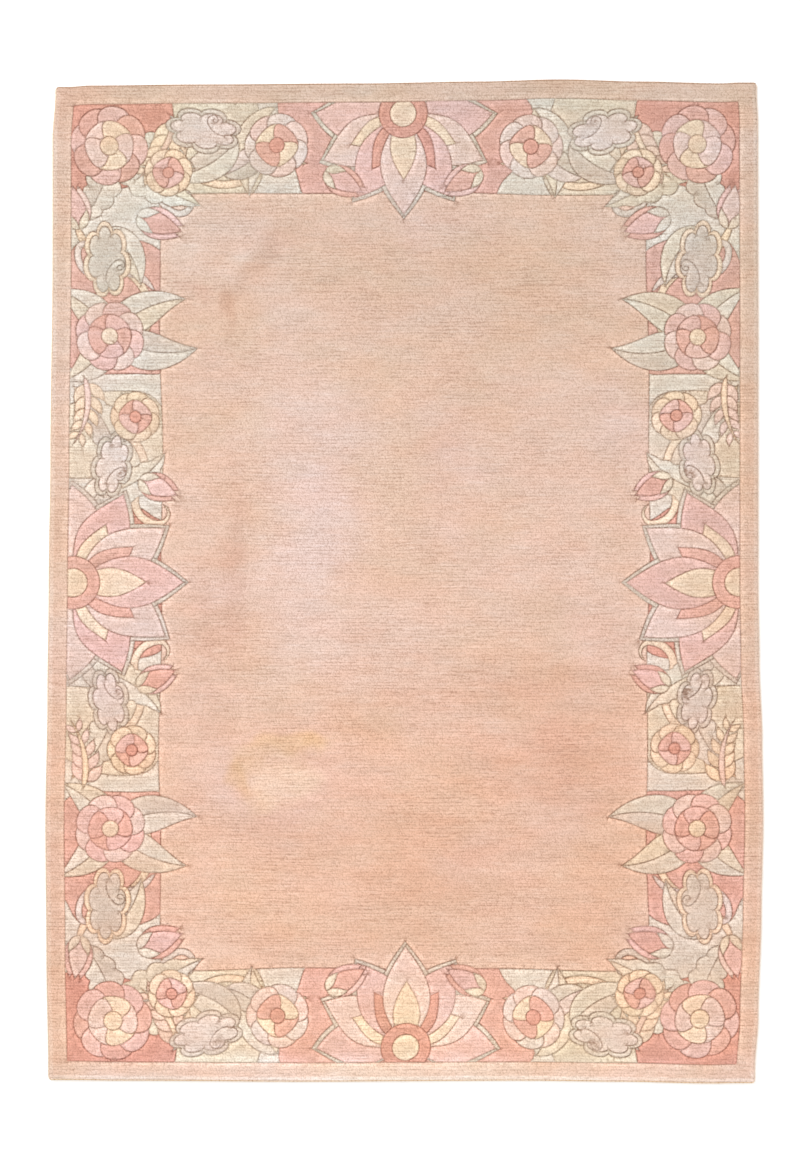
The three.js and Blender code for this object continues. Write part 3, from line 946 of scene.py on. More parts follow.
@dataclass
class Flower(Motif):
    """A flower of round petals seen from above, with a ring of smaller petals and a centre."""

    radius: float = 0
    petals: int = 8
    inner: float = 0.62
    centre: float = 0.24
    overlap: float = 2.45

    def whorl(self, count: int, length: float, start: float) -> list[Loop]:
        """A ring of round petals."""
        drawn = round_petal(length, length * self.overlap * math.sin(math.pi / count))
        return [turned(drawn, 360 * (k + start) / count) for k in range(count)]

    def areas(self, dyes: Sequence[Dye]) -> Areas:
        """The outer petals, the inner ones and the centre."""
        outer = self.whorl(self.petals, self.radius, 0)
        inner = self.whorl(self.petals - 3, self.radius * self.inner, 0.5)
        drawn = [(loop, dyes[k % 2]) for k, loop in enumerate(outer)]
        drawn += [(loop, dyes[2 + k % 2]) for k, loop in enumerate(inner)]
        return drawn + [(disc(self.radius * self.centre), dyes[4])]


@dataclass
class Bud(Motif):
    """A half-open bud: two side petals, the middle one over them, and two sepals."""

    length: float = 0
    parts: tuple[tuple[int, int, float, float, float, float], ...] = (
        (-1, 0, 1.0, 0.44, 30, 22), (1, 0, 1.0, 0.44, 30, 22), (0, 1, 1.0, 0.44, 30, 22),
        (-1, 2, 0.5, 0.2, 40, 48), (1, 2, 0.5, 0.2, 40, 48))

    def areas(self, dyes: Sequence[Dye]) -> Areas:
        """Its parts, each with its side, dye, length, width, bend and turn."""
        size = self.length
        return [(turned(petal(size * long, size * wide, -side * bend, 0.8), side * turn), dyes[dye])
                for side, dye, long, wide, bend, turn in self.parts]


def drift(points: Loop) -> Loop:
    """The hand's drift: no carved line is quite straight, and no two quarters are quite alike."""
    x, y = points[:, 0], points[:, 1]
    return points + np.stack([
        3.5 * np.sin(y / 210 + 0.6) + 2.2 * np.sin(x / 120 + y / 75 + 2.1),
        3.2 * np.sin(x / 190 + 1.9) + 2.0 * np.sin(y / 110 - x / 85 + 0.4)], 1)


@dataclass
class FlowerBorder:
    """The carved border between its two framing lines, laid out in the top right-hand quarter.

    Each motif is mirrored into the other quarters, and one that sits on an axis is mirrored once.
    """

    edge: RugEdge
    band_width: float = 46
    inner: tuple[float, float] = (585, 931)
    frame_step: float = 12
    quarters: tuple[tuple[int, int], ...] = ((1, 1), (-1, 1), (-1, -1), (1, -1))

    def grounds(self) -> list[Motif]:
        """The patches of ground colour, which lie under the plain field's line."""
        return [
            DyeGround(0, 1050, 0, (Dye.ROSE,), 290, 165),
            DyeGround(455, 1060, 0, (Dye.OLIVE,), 120, 150),
            DyeGround(745, 1115, 0, (Dye.BRICK,), 190, 180),
            DyeGround(700, 655, 0, (Dye.ROSE,), 145, 165),
            DyeGround(700, 345, 0, (Dye.OLIVE,), 150, 105),
            DyeGround(690, 0, 0, (Dye.BRICK,), 150, 190),
        ]

    def stems(self) -> list[Motif]:
        """The curling stems: place, turn, yarn, width and bends."""
        return [
            Stem(235, 1000, 20, (Dye.CREAM,), 18, ((120, -60), (190, 90), (120, 150))),
            Stem(560, 1125, -120, (Dye.GREY,), 16, ((150, 70), (120, -110), (90, -170))),
            Stem(790, 880, -100, (Dye.CREAM,), 18, ((170, -60), (180, 90), (110, 160))),
            Stem(600, 700, 60, (Dye.LILAC,), 16, ((120, -80), (120, 120), (60, 180))),
            Stem(795, 470, -110, (Dye.CREAM,), 18, ((150, -50), (170, 100), (120, -120), (60, -150))),
        ]

    def leaves(self) -> list[Motif]:
        """The leaves, ferns and clouds: place, turn, yarns, length, width, bend and lobes."""
        return [
            Leaf(310, 1135, -50, (Dye.SAGE, Dye.OLIVE), 225, 98, -50),
            Leaf(430, 975, 165, (Dye.LILAC, Dye.GREY), 170, 66, -60),
            Leaf(400, 1060, -55, (Dye.SAGE, Dye.GREY), 190, 84, 55),
            Leaf(700, 1045, 175, (Dye.SAGE, Dye.OLIVE), 215, 92, 40, 6),
            Leaf(700, 1045, 226, (Dye.OLIVE, Dye.SAGE), 262, 104, -25, 6),
            Leaf(700, 1045, 275, (Dye.SAGE, Dye.GREY), 215, 92, 40, 6),
            Leaf(720, 850, 212, (Dye.SAGE, Dye.OLIVE), 170, 76, 50),
            Leaf(700, 590, 128, (Dye.SAGE, Dye.OLIVE), 205, 88, 50),
            Leaf(700, 590, 212, (Dye.GREY, Dye.SAGE), 215, 92, -50),
            Leaf(700, 590, 62, (Dye.OLIVE, Dye.SAGE), 175, 80, -40),
            Leaf(700, 590, -62, (Dye.SAGE, Dye.OLIVE), 165, 78, 40),
            Leaf(770, 440, 222, (Dye.SAGE, Dye.GREY), 210, 92, 50, 5),
            Leaf(730, 215, 172, (Dye.OLIVE, Dye.SAGE), 185, 84, -50, 5),
            Leaf(765, 160, 105, (Dye.SAGE, Dye.GREY), 150, 66, 50),
            Fern(545, 1120, -80, (Dye.PEACH, Dye.CREAM), 165, 40),
            Fern(770, 490, 255, (Dye.BLUSH, Dye.CREAM), 150, 45),
            Cloud(480, 1085, 12, (Dye.LILAC, Dye.GREY), 185),
            Cloud(712, 775, 85, (Dye.GREY, Dye.CREAM), 190),
            Cloud(705, 285, 100, (Dye.LILAC, Dye.GREY), 165),
        ]

    def flowers(self) -> list[Motif]:
        """The lotuses, flowers and buds: place, turn, yarns, size and petals."""
        return [
            Lotus(0, 1122, -90, (Dye.BLUSH, Dye.PINK, Dye.CREAM, Dye.BRICK, Dye.GREY), 245),
            Lotus(800, 0, 180, (Dye.PINK, Dye.BLUSH, Dye.CREAM, Dye.ROSE, Dye.GREY), 270),
            Flower(705, 1050, 10, (Dye.ROSE, Dye.PINK, Dye.BLUSH, Dye.CREAM, Dye.SAND), 94, 8),
            Flower(306, 1045, 0, (Dye.BLUSH, Dye.LILAC, Dye.CREAM, Dye.ROSE, Dye.BRICK), 76, 7),
            Flower(705, 590, 20, (Dye.BLUSH, Dye.PINK, Dye.ROSE, Dye.PINK, Dye.CREAM), 84, 8),
            Flower(650, 400, 0, (Dye.CREAM, Dye.SAND, Dye.ROSE, Dye.PINK, Dye.BRICK), 60, 7),
            Flower(562, 985, 15, (Dye.CREAM, Dye.SAND, Dye.PINK, Dye.ROSE, Dye.BRICK), 58, 7),
            Bud(190, 985, -150, (Dye.PINK, Dye.ROSE, Dye.OLIVE), 105),
            Bud(640, 880, 200, (Dye.ROSE, Dye.PINK, Dye.SAGE), 115),
            Bud(778, 850, 80, (Dye.PINK, Dye.BLUSH, Dye.OLIVE), 105),
            Bud(640, 250, 205, (Dye.PINK, Dye.ROSE, Dye.OLIVE), 100),
        ]

    def rectangle(self, half: tuple[float, float]) -> Loop:
        """A framing line as a ring of close points."""
        corners = np.array([(-half[0], -half[1]), (half[0], -half[1]), half, (-half[0], half[1])], float)
        parts = []
        for start, end in zip(corners, np.roll(corners, -1, 0)):
            count = int(np.linalg.norm(end - start) / self.frame_step)
            parts.append(start + (end - start) * np.linspace(0, 1, count, endpoint=False)[:, None])
        return drift(np.concatenate(parts))

    def layers(self) -> tuple[Areas, list[tuple[int, Loop]]]:
        """Everything that is knotted or carved, from the lowest to the uppermost.

        Returns:
            The areas with their yarns, and the open lines, each with the number of areas below it.
        """
        areas = [(self.edge.ring(self.band_width), Dye.SAGE)]
        lines: list[tuple[int, Loop]] = []

        def place(motif: Motif, mirror: tuple[int, int], dyes: Sequence[Dye]) -> None:
            """Mirrors one motif into a quarter."""
            def put(points: Loop) -> Loop:
                """Turns, moves, mirrors and drifts points."""
                return drift((turned(points, motif.turn) + (motif.x, motif.y)) * mirror)
            areas.extend((put(loop), dye) for loop, dye in motif.areas(dyes))
            lines.extend((len(areas), put(line)) for line in motif.lines())

        for group in (self.grounds(), None, self.stems(), self.leaves(), self.flowers()):
            if group is None:
                areas.append((self.rectangle(self.inner), Dye.FIELD))
                continue
            for motif in group:
                for quarter, mirror in enumerate(self.quarters):
                    if (motif.x == 0 and mirror[0] < 0) or (motif.y == 0 and mirror[1] < 0):
                        continue
                    dyes = motif.dyes
                    if quarter % 2 and motif.swaps_dyes and len(dyes) > 1:
                        dyes = (dyes[1], dyes[0], *dyes[2:])
                    place(motif, mirror, dyes)
        return areas, lines


# The knotted cloth

@dataclass
class Crease:
    """A soft trough in the pile where the rug was once folded: points, half width and depth."""

    path: Rows
    reach: float
    depth: float


@dataclass
class KnottedCloth:
    """The knotted cloth with its cut pile, carved along every outline of the border.

    The mesh is a closed slab. Its top is a triangle net whose edges follow the carved lines, with rows of
    points beside each line for the groove's flanks and lips, and a looser net on the plain pile. The profile
    gives heights and insets down the side. Each swell is a grain along X and Y, a place in the noise and a
    height.
    """

    edge: RugEdge
    border: FlowerBorder
    finish: WoolPile
    cord_room: float = 5.9
    shoulder: float = 4.0
    shoulder_drop: float = 0.05
    ragged: float = 0.35
    flank: float = 1.7
    lip: float = 3.4
    groove_depth: float = 4.6
    groove_reach: float = 1.35
    groove_sharpness: float = 1.6
    # How far the painted shade of a carved line and the painted highlight on its lips reach.
    dark_reach: float = 1.3
    lip_highlight_reach: float = 1.5
    longest: float = 10.4
    line_parts: int = 8
    merge: float = 1.3
    shortest: float = 2.5
    crowded: float = 0.86
    flank_cell: float = 1.6
    lip_cell: float = 8.0
    net: tuple[float, float] = (16.0, 10.6)
    net_disorder: float = 0.22
    rim_room: float = 7.0
    lip_room: float = 2.6
    under_half: tuple[int, int] = (800, 1140)
    under_step: int = 80
    band_line_share: float = 0.5
    pile_drop: float = 0.2
    swells: tuple[tuple[float, float, float, float], ...] = ((95, 60, 0.3, 0.75), (24, 13, 7.7, 0.28))
    tuft_height: float = 0.09
    lot_range: tuple[float, float] = (0.965, 1.03)
    lot_hue_range: tuple[float, float] = (0.99, 1.01)
    seed: int = 4
    profile: Rows = (
        (13.9, 4.6), (13.5, 1.6), (12.7, -0.6), (11.2, -2.2), (9.4, -2.5), (7.0, -1.2), (4.5, 0.0),
        (0.0, 0.6))
    creases: tuple[Crease, ...] = (
        Crease(((-300, 890), (-311, 806), (-371, 724), (-414, 676), (-430, 634)), 16, 1.6),
        Crease(((-424, 320), (-431, 250), (-440, 200)), 14, 1.0),
    )

    def labels(self, points: Loop, areas: Areas) -> np.ndarray:
        """The uppermost area at each point, or -1 on the plain band outside the border."""
        top = np.full(len(points), -1)
        order = np.argsort(points[:, 0])
        ordered = points[order]
        for number, (loop, _) in enumerate(areas):
            first, last = np.searchsorted(ordered[:, 0], (loop[:, 0].min(), loop[:, 0].max()))
            hits = inside(ordered[first:last], loop)
            top[order[first:last][hits]] = number
        top[~inside(points, areas[0][0])] = -1
        return top

    def carved(self, areas: Areas, lines: list[tuple[int, Loop]]) -> tuple[Loop, np.ndarray]:
        """The carved lines that no later motif hides.

        Args:
            areas: the areas of the border from the lowest to the uppermost.
            lines: the open lines with the number of areas below each.

        Returns:
            Points, and pairs of them that a straight piece of carved line joins.
        """
        pairs: list[np.ndarray] = []
        owners: list[np.ndarray] = []
        count = 0
        runs = [(loop, None, -1) for loop, _ in areas] + [(line, -1, below) for below, line in lines]
        for run, last, below in runs:
            pairs.append(ring_pairs(len(run))[:last] + count)
            owners.append(np.full(len(pairs[-1]), below))
            count += len(run)
        owner = np.concatenate(owners)
        points = np.concatenate([run for run, _, _ in runs])
        verts, faces, net = triangle_net(points, np.concatenate(pairs), merge=1e-3)

        # A side of a triangle is carved where the uppermost areas on its two hands differ
        top = self.labels(verts[faces].mean(1), areas)
        sides = np.sort(np.concatenate([faces[:, [0, 1]], faces[:, [1, 2]], faces[:, [2, 0]]]), 1)
        keys = sides[:, 0].astype(np.int64) * len(verts) + sides[:, 1]
        order = np.argsort(keys, kind="stable")
        keys, side_top = keys[order], np.tile(top, 3)[order]
        first = np.flatnonzero(np.r_[True, keys[1:] != keys[:-1]])
        partner = np.minimum(first + 1, len(keys) - 1)
        paired = keys[partner] == keys[first]
        parts = paired & (side_top[first] != side_top[partner])
        chosen = set(keys[first][parts].tolist())

        # An open line is carved where no area that came after it lies over it
        top_of = dict(zip(keys[first].tolist(), np.minimum(side_top[first], side_top[partner]).tolist()))
        for (a, b), origins in zip(net[1], net[4]):
            key = min(a, b) * len(verts) + max(a, b)
            below = max((int(owner[i]) for i in origins), default=-1)
            if 0 <= top_of.get(key, -1) < below:
                chosen.add(key)
        kept = np.array(sorted(chosen))
        return self.evened(verts, np.stack([kept // len(verts), kept % len(verts)], 1))

    def evened(self, verts: Loop, pairs: np.ndarray) -> tuple[Loop, np.ndarray]:
        """Merges points that nearly touch and splits long pieces of line."""
        used, pairs = np.unique(pairs, return_inverse=True)
        verts, pairs = verts[used], pairs.reshape(-1, 2)
        tree = search_tree(verts)
        stands_for = np.arange(len(verts))
        for number, (x, y) in enumerate(verts):
            if stands_for[number] == number:
                for _, other, _ in tree.find_range((x, y, 0), self.merge):
                    if other > number and stands_for[other] == other:
                        stands_for[other] = number
        pairs = np.unique(np.sort(stands_for[pairs], 1), axis=0)
        pairs = pairs[pairs[:, 0] != pairs[:, 1]]
        points, pieces = list(verts), []
        for a, b in pairs:
            count = max(1, math.ceil(np.linalg.norm(verts[b] - verts[a]) / self.longest))
            chain = [a, *range(len(points), len(points) + count - 1), b]
            points.extend(verts[a] + (verts[b] - verts[a]) * k / count for k in range(1, count))
            pieces.extend(zip(chain, chain[1:]))
        return np.array(points), np.array(pieces)

    def line_tree(self, points: Loop, pairs: np.ndarray) -> KDTree:
        """A search tree over close points of the carved lines."""
        steps = np.linspace(0, 1, self.line_parts, endpoint=False)[:, None, None]
        return search_tree((points[pairs[:, 0]] * (1 - steps) + points[pairs[:, 1]] * steps).reshape(-1, 2))

    def away(self, tree: KDTree, points: Loop) -> np.ndarray:
        """How far each point lies from the nearest carved line."""
        return np.array([tree.find((x, y, 0))[2] for x, y in points])

    def beside(self, points: Loop, pairs: np.ndarray, tree: KDTree) -> Loop:
        """Rows of points on both sides of the carved lines, for the grooves' flanks and lips."""
        way = points[pairs[:, 1]] - points[pairs[:, 0]]
        length = np.linalg.norm(way, axis=1, keepdims=True)
        left = np.stack([-way[:, 1], way[:, 0]], 1) / length
        middle = (points[pairs[:, 0]] + points[pairs[:, 1]]) / 2
        long = length[:, 0] > self.shortest
        rows = []
        for reach, cell in ((self.flank, self.flank_cell), (self.lip, self.lip_cell)):
            for side in (1, -1):
                row = middle[long] + left[long] * side * reach
                rows.append(self.thinned(row[self.away(tree, row) > self.crowded * reach], cell))
        return self.thinned(np.concatenate(rows), self.flank_cell)

    def thinned(self, points: Loop, apart: float) -> Loop:
        """Drops points that share a small cell with an earlier one."""
        _, first = np.unique(np.floor(points / apart), axis=0, return_index=True)
        return points[np.sort(first)]

    def plain_net(self, ring: Loop, tree: KDTree) -> Loop:
        """Points on the plain pile, in staggered rows with a little disorder."""
        rng = np.random.default_rng(self.seed)
        step_x, step_y = self.net
        low, high = ring.min(0), ring.max(0)
        rows = np.arange(low[1] + step_y, high[1], step_y)
        cols = np.arange(low[0], high[0], step_x)
        x = cols[None, :] + np.where(np.arange(len(rows)) % 2, step_x / 2, 0)[:, None]
        y = np.repeat(rows[:, None], len(cols), 1)
        points = np.stack([x, y], -1).reshape(-1, 2)
        points += rng.uniform(-1, 1, points.shape) * (step_x * self.net_disorder, step_y * self.net_disorder)
        points = points[inside(points, ring * (1 - self.rim_room / np.abs(ring).max(0)))]
        return points[self.away(tree, points) > self.lip + self.lip_room]

    def crease_at(self, points: Loop) -> np.ndarray:
        """How deep the old folds press the pile at each point."""
        depth = np.zeros(len(points))
        for crease in self.creases:
            path = np.array(crease.path, float)
            nearest = np.full(len(points), np.inf)
            for start, end in zip(path, path[1:]):
                way = end - start
                share = np.clip((points - start) @ way / (way @ way), 0, 1)
                nearest = np.minimum(nearest, np.linalg.norm(points - start - share[:, None] * way, axis=1))
            depth = np.maximum(depth, crease.depth * np.exp(-(nearest / crease.reach) ** 2))
        return depth

    def heights(self, points: Loop, away: np.ndarray) -> np.ndarray:
        """The height of the pile: nearly flat, softly uneven, and carved along the lines.

        Args:
            points: places on the rug.
            away: how far each lies from the nearest carved line.

        Returns:
            Heights above the floor.
        """
        rng = np.random.default_rng(self.seed + 1)
        groove = np.exp(-(away / self.groove_reach) ** self.groove_sharpness)
        uneven = sum(height * np.array([noise.noise((x / along, y / up, place)) for x, y in points])
                     for along, up, place, height in self.swells)
        uneven = uneven + rng.uniform(-self.tuft_height, self.tuft_height, len(points))
        flat = PILE_TOP - self.pile_drop
        return flat + uneven * (1 - groove) - self.groove_depth * groove - self.crease_at(points)

    def shell(self, top: Loop, top_ring: np.ndarray,
              heights: np.ndarray) -> tuple[np.ndarray, list[list[int]]]:
        """Adds the sides and the underside to the top net.

        Args:
            top: the top net's points.
            top_ring: the numbers of the net's outermost ring of points, counter-clockwise.
            heights: the height of each of the top net's points.

        Returns:
            All points, and the faces of the sides and the underside.
        """
        rng = np.random.default_rng(self.seed + 2)
        points = [np.column_stack([top, heights])]
        start, faces, above = len(top), [], top_ring
        for z, inset in self.profile:
            ragged = self.ragged if 0 < z < self.profile[0][0] else 0.0
            ring = self.edge.ring(self.cord_room + inset)
            outward = ring - np.roll(ring, 1, 0)
            outward = np.stack([outward[:, 1], -outward[:, 0]], 1)
            outward /= np.maximum(np.linalg.norm(outward, axis=1, keepdims=True), 1e-6)
            ring = ring + outward * rng.uniform(-ragged, ragged, (len(ring), 1))
            below = np.arange(start, start + len(ring))
            points.append(np.column_stack([ring, np.full(len(ring), z)]))
            after, last = np.roll(above, -1), np.roll(below, -1)
            faces.extend(np.stack([below, last, after, above], 1).tolist())
            start, above = start + len(ring), below
        ring = points[-1][:, :2]
        along, up = (np.arange(-half, half + 1, self.under_step) for half in self.under_half)
        grid = np.stack(np.meshgrid(along, up), -1).reshape(-1, 2)
        under, triangles, net = triangle_net(np.concatenate([ring, grid]), ring_pairs(len(ring)), merge=1e-5)
        ids = np.array([origin[0] for origin in net[3]])
        number = np.where(ids < len(ring), above[np.minimum(ids, len(ring) - 1)], start + ids - len(ring))
        kept = triangles[inside(under[triangles].mean(1), ring)]
        faces.extend(number[kept][:, ::-1].tolist())
        points.append(np.column_stack([grid, np.zeros(len(grid))]))
        return np.concatenate(points), faces

    def colours(self, labels: np.ndarray, areas: Areas) -> np.ndarray:
        """The yarn's linear colour for each face, a little different in each area."""
        rng = np.random.default_rng(self.seed + 3)
        table = np.array([linear(dye.value) for _, dye in areas] + [linear(Dye.BAND.value)])
        lot = rng.uniform(*self.lot_range, (len(table), 1))
        lot = lot * rng.uniform(*self.lot_hue_range, (len(table), 3))
        lot[-1] = 1.0
        for number, (_, dye) in enumerate(areas):
            if dye is Dye.FIELD:
                lot[number] = 1.0
        table[:, :3] = np.clip(table[:, :3] * lot, 0, 1)
        return table[labels]

    def build(self) -> bpy.types.Object:
        """Knots, cuts and carves the cloth.

        Returns:
            The finished piece.
        """
        areas, lines = self.border.layers()
        line_points, pairs = self.carved(areas, lines)
        tree = self.line_tree(line_points, pairs)
        ring = self.edge.ring(self.cord_room + self.profile[0][1] + self.shoulder)
        parts = [ring, line_points, self.beside(line_points, pairs, tree), self.plain_net(ring, tree)]
        joined_pairs = np.concatenate([ring_pairs(len(ring)), pairs + len(ring)])
        verts, faces, net = triangle_net(np.concatenate(parts), joined_pairs, merge=1e-4)
        faces = faces[inside(verts[faces].mean(1), ring)]
        first_of = {origin: number for number, origins in enumerate(net[3]) for origin in origins}
        top_ring = np.array([first_of[k] for k in range(len(ring))])
        away = self.away(tree, verts)
        heights = self.heights(verts, away)
        heights[top_ring] = PILE_TOP - self.shoulder_drop
        points, shell = self.shell(verts, top_ring, heights)
        labels = self.labels(verts[faces].mean(1), areas)

        mesh = bpy.data.meshes.new("pile_cloth")
        mesh.from_pydata((points * MM).tolist(), [], faces.tolist() + shell)
        mesh.update()
        self.dye(mesh, self.colours(np.concatenate([labels, np.full(len(shell), -1)]), areas))
        self.mark(mesh, points, away)
        mesh.shade_smooth()
        mesh.materials.append(self.finish.material())
        length = np.linalg.norm(line_points[pairs[:, 0]] - line_points[pairs[:, 1]], axis=1).sum()
        log.info("carved lines %.1f m, top net %d triangles, %d faces", length * MM, len(faces),
                 len(mesh.polygons))
        return link_object("knotted_pile", mesh)

    def dye(self, mesh: bpy.types.Mesh, face_colour: np.ndarray) -> None:
        """Gives every corner of the mesh its face's colour."""
        corner_face = np.repeat(np.arange(len(mesh.polygons)), [len(p.vertices) for p in mesh.polygons])
        yarn = mesh.color_attributes.new("yarn", "BYTE_COLOR", "CORNER")
        yarn.data.foreach_set("color", face_colour[corner_face].astype(np.float32).ravel())

    def mark(self, mesh: bpy.types.Mesh, points: np.ndarray, away: np.ndarray) -> None:
        """Marks on the mesh the carved lines, for their darker depth and painted shade, their lips, for a
        painted highlight, and the pile's sides, for painted light that makes them paler.

        Args:
            mesh: the cloth's mesh.
            points: its points in millimetres, those of the top net first.
            away: how far each point of the top net lies from the nearest carved line.
        """
        band = self.edge.ring(self.border.band_width)
        framing = self.line_tree(band, ring_pairs(len(band)))
        shallow = np.where(self.away(framing, points[:, :2]) < self.lip, self.band_line_share, 1.0)
        on_top = np.arange(len(points)) < len(away)
        away = np.append(away, np.full(len(points) - len(away), np.inf))
        shares = {
            # carve: the carved lines' darker depth and painted shade
            "carve": shallow * np.exp(-(away / self.dark_reach) ** 2),
            # lip: a painted highlight beside each carved line
            "lip": np.exp(-((away - self.lip) / self.lip_highlight_reach) ** 2),
            # rim: painted light that makes the pile's sides paler
            "rim": np.where(on_top, 0, self.edge.wear(points[:, :2])),
        }
        for name, share in shares.items():
            mesh.attributes.new(name, "FLOAT", "POINT").data.foreach_set("value", share.astype(np.float32))


# Overcast edges

@dataclass
class OvercastEdge:
    """The yarn wound round the cord along one side of the rug, turn by turn.

    The counts of sides are those of a turn's ring, of the yarn and of the core.
    """

    node: str
    side: Side
    finish: OvercastYarn
    edge: RugEdge
    cord_width: float = 5.6
    turn_pitch: float = 3.3
    yarn_radius: float = 0.75
    slant: float = 14.0
    lean: tuple[float, float] = (0.6, 1.4)
    slimmest: tuple[float, float, float] = (0.92, 0.92, 1.75)
    stoutest: tuple[float, float, float] = (1.04, 1.04, 2.3)
    tint_every: int = 3
    wear: tuple[float, float] = (0.35, 1.0)
    sides: tuple[int, int, int] = (10, 5, 8)

    def path(self) -> Loop:
        """The cord's middle line, from one corner bend's middle to the next one's."""
        inset = self.cord_width / 2
        before = self.edge.bend(self.side.further(3), inset)
        after = self.edge.bend(self.side, inset)
        half = self.edge.bend_points // 2
        return np.concatenate([before[half + 1:], self.edge.line(self.side, inset), after[:half]])

    def empty_tree(self) -> bpy.types.NodeTree:
        """A tree with named inputs for the winding's sizes."""
        tree = bpy.data.node_groups.new("overcast_" + self.node, "GeometryNodeTree")
        sockets = {"Geometry": "Geometry", "Turn Pitch": "Float", "Cord Radius": "Float",
                   "Yarn Radius": "Float", "Slant": "Float", "Tint Every": "Int", "Material": "Material"}
        for name, kind in sockets.items():
            tree.interface.new_socket(name=name, in_out="INPUT", socket_type="NodeSocket" + kind)
        tree.interface.new_socket(name="Geometry", in_out="OUTPUT", socket_type="NodeSocketGeometry")
        return tree

    def tree(self) -> bpy.types.NodeTree:
        """The node tree that winds the yarn: a core along the curve and a slanted ring for each turn.

        Returns:
            The tree, with named inputs for its sizes.
        """
        tree = self.empty_tree()
        add = partial(add_node, tree)
        given = add("NodeGroupInput").node.outputs
        ring_radius = add("ShaderNodeMath", MINUS, (given["Cord Radius"], given["Yarn Radius"]))
        dots = add("GeometryNodeCurveToPoints", {"mode": "LENGTH"},
                   {"Curve": given["Geometry"], "Length": given["Turn Pitch"]}).node.outputs
        ring, section, core_section = (
            add("GeometryNodeCurvePrimitiveCircle", {"mode": "RADIUS"},
                {"Resolution": sides, "Radius": radius})
            for sides, radius in zip(self.sides, (ring_radius, given["Yarn Radius"], ring_radius)))
        turn = add("GeometryNodeCurveToMesh", None, {"Curve": ring, "Profile Curve": section})
        lean = add("FunctionNodeRandomValue", {"data_type": "FLOAT"},
                   {2: self.lean[0], 3: self.lean[1], "Seed": 5}, 1)
        angle = add("ShaderNodeMath", TIMES, (given["Slant"], lean))
        tilt = add("ShaderNodeCombineXYZ", None, (angle,))
        way = add("FunctionNodeRotateRotation", {"rotation_space": "LOCAL"}, (dots["Rotation"], tilt))
        size = add("FunctionNodeRandomValue", {"data_type": "FLOAT_VECTOR"},
                   {0: self.slimmest, 1: self.stoutest, "Seed": 8})
        turns = add("GeometryNodeInstanceOnPoints", None,
                    {"Points": dots["Points"], "Instance": turn, "Rotation": way, "Scale": size})
        count = add("ShaderNodeMath", {"operation": "MODULO"},
                    (add("GeometryNodeInputIndex"), given["Tint Every"]))
        chosen = add("FunctionNodeCompare", {"data_type": "FLOAT", "operation": "LESS_THAN"}, (count, 0.5))
        worn = add("FunctionNodeRandomValue", {"data_type": "FLOAT"},
                   {2: self.wear[0], 3: self.wear[1], "Seed": 3}, 1)
        tint = add("ShaderNodeMath", TIMES, (chosen, worn))
        marked = add("GeometryNodeStoreNamedAttribute", {"data_type": "FLOAT", "domain": "INSTANCE"},
                     {"Geometry": turns, "Name": "tint", "Value": tint})
        core = add("GeometryNodeCurveToMesh", None,
                   {"Curve": given["Geometry"], "Profile Curve": core_section, "Fill Caps": True})
        both = add("GeometryNodeJoinGeometry", None, (core,))
        tree.links.new(marked, both.node.inputs[0])
        real = add("GeometryNodeRealizeInstances", None, (both,))
        dressed = add("GeometryNodeSetMaterial", None, {"Geometry": real, "Material": given["Material"]})
        smooth = add("GeometryNodeSetShadeSmooth", None, {"Geometry": dressed})
        add("NodeGroupOutput", None, {"Geometry": smooth})
        return tree

    def build(self) -> bpy.types.Object:
        """Winds the yarn and turns the result into a plain mesh."""
        curve = bpy.data.curves.new(self.node + "_line", "CURVE")
        curve.dimensions = "3D"
        spline = curve.splines.new("POLY")
        path = self.path()
        ones = np.ones(len(path))
        places = np.column_stack([path * MM, self.cord_width / 2 * ones * MM, ones])
        spline.points.add(len(path) - 1)
        spline.points.foreach_set("co", places.astype(np.float32).ravel())
        values = {"Turn Pitch": self.turn_pitch * MM, "Cord Radius": self.cord_width / 2 * MM,
                  "Yarn Radius": self.yarn_radius * MM, "Slant": math.radians(self.slant),
                  "Tint Every": self.tint_every, "Material": self.finish.material()}
        return grown_mesh(self.node + "_yarn", curve, self.tree(), values)


def grown_mesh(name: str, data: bpy.types.ID, tree: bpy.types.NodeTree,
               values: dict[str, Any]) -> bpy.types.Object:
    """Runs a geometry node tree on a curve or mesh and keeps the result as a plain mesh.

    Args:
        name: the new piece's name.
        data: the curve or mesh that the tree starts from.
        tree: the tree.
        values: the tree's inputs by name.

    Returns:
        The new piece.
    """
    source = link_object(name + "_source", data)
    modifier = source.modifiers.new("nodes", "NODES")
    modifier.node_group = tree
    for item in tree.interface.items_tree:
        if item.item_type == "SOCKET" and item.in_out == "INPUT" and item.name in values:
            modifier[item.identifier] = values[item.name]
    bpy.context.view_layer.update()
    ready = source.evaluated_get(bpy.context.evaluated_depsgraph_get())
    mesh = bpy.data.meshes.new_from_object(ready)
    source.modifiers.remove(modifier)
    bpy.data.objects.remove(source)
    mesh.name = name
    return link_object(name, mesh)


# Studio

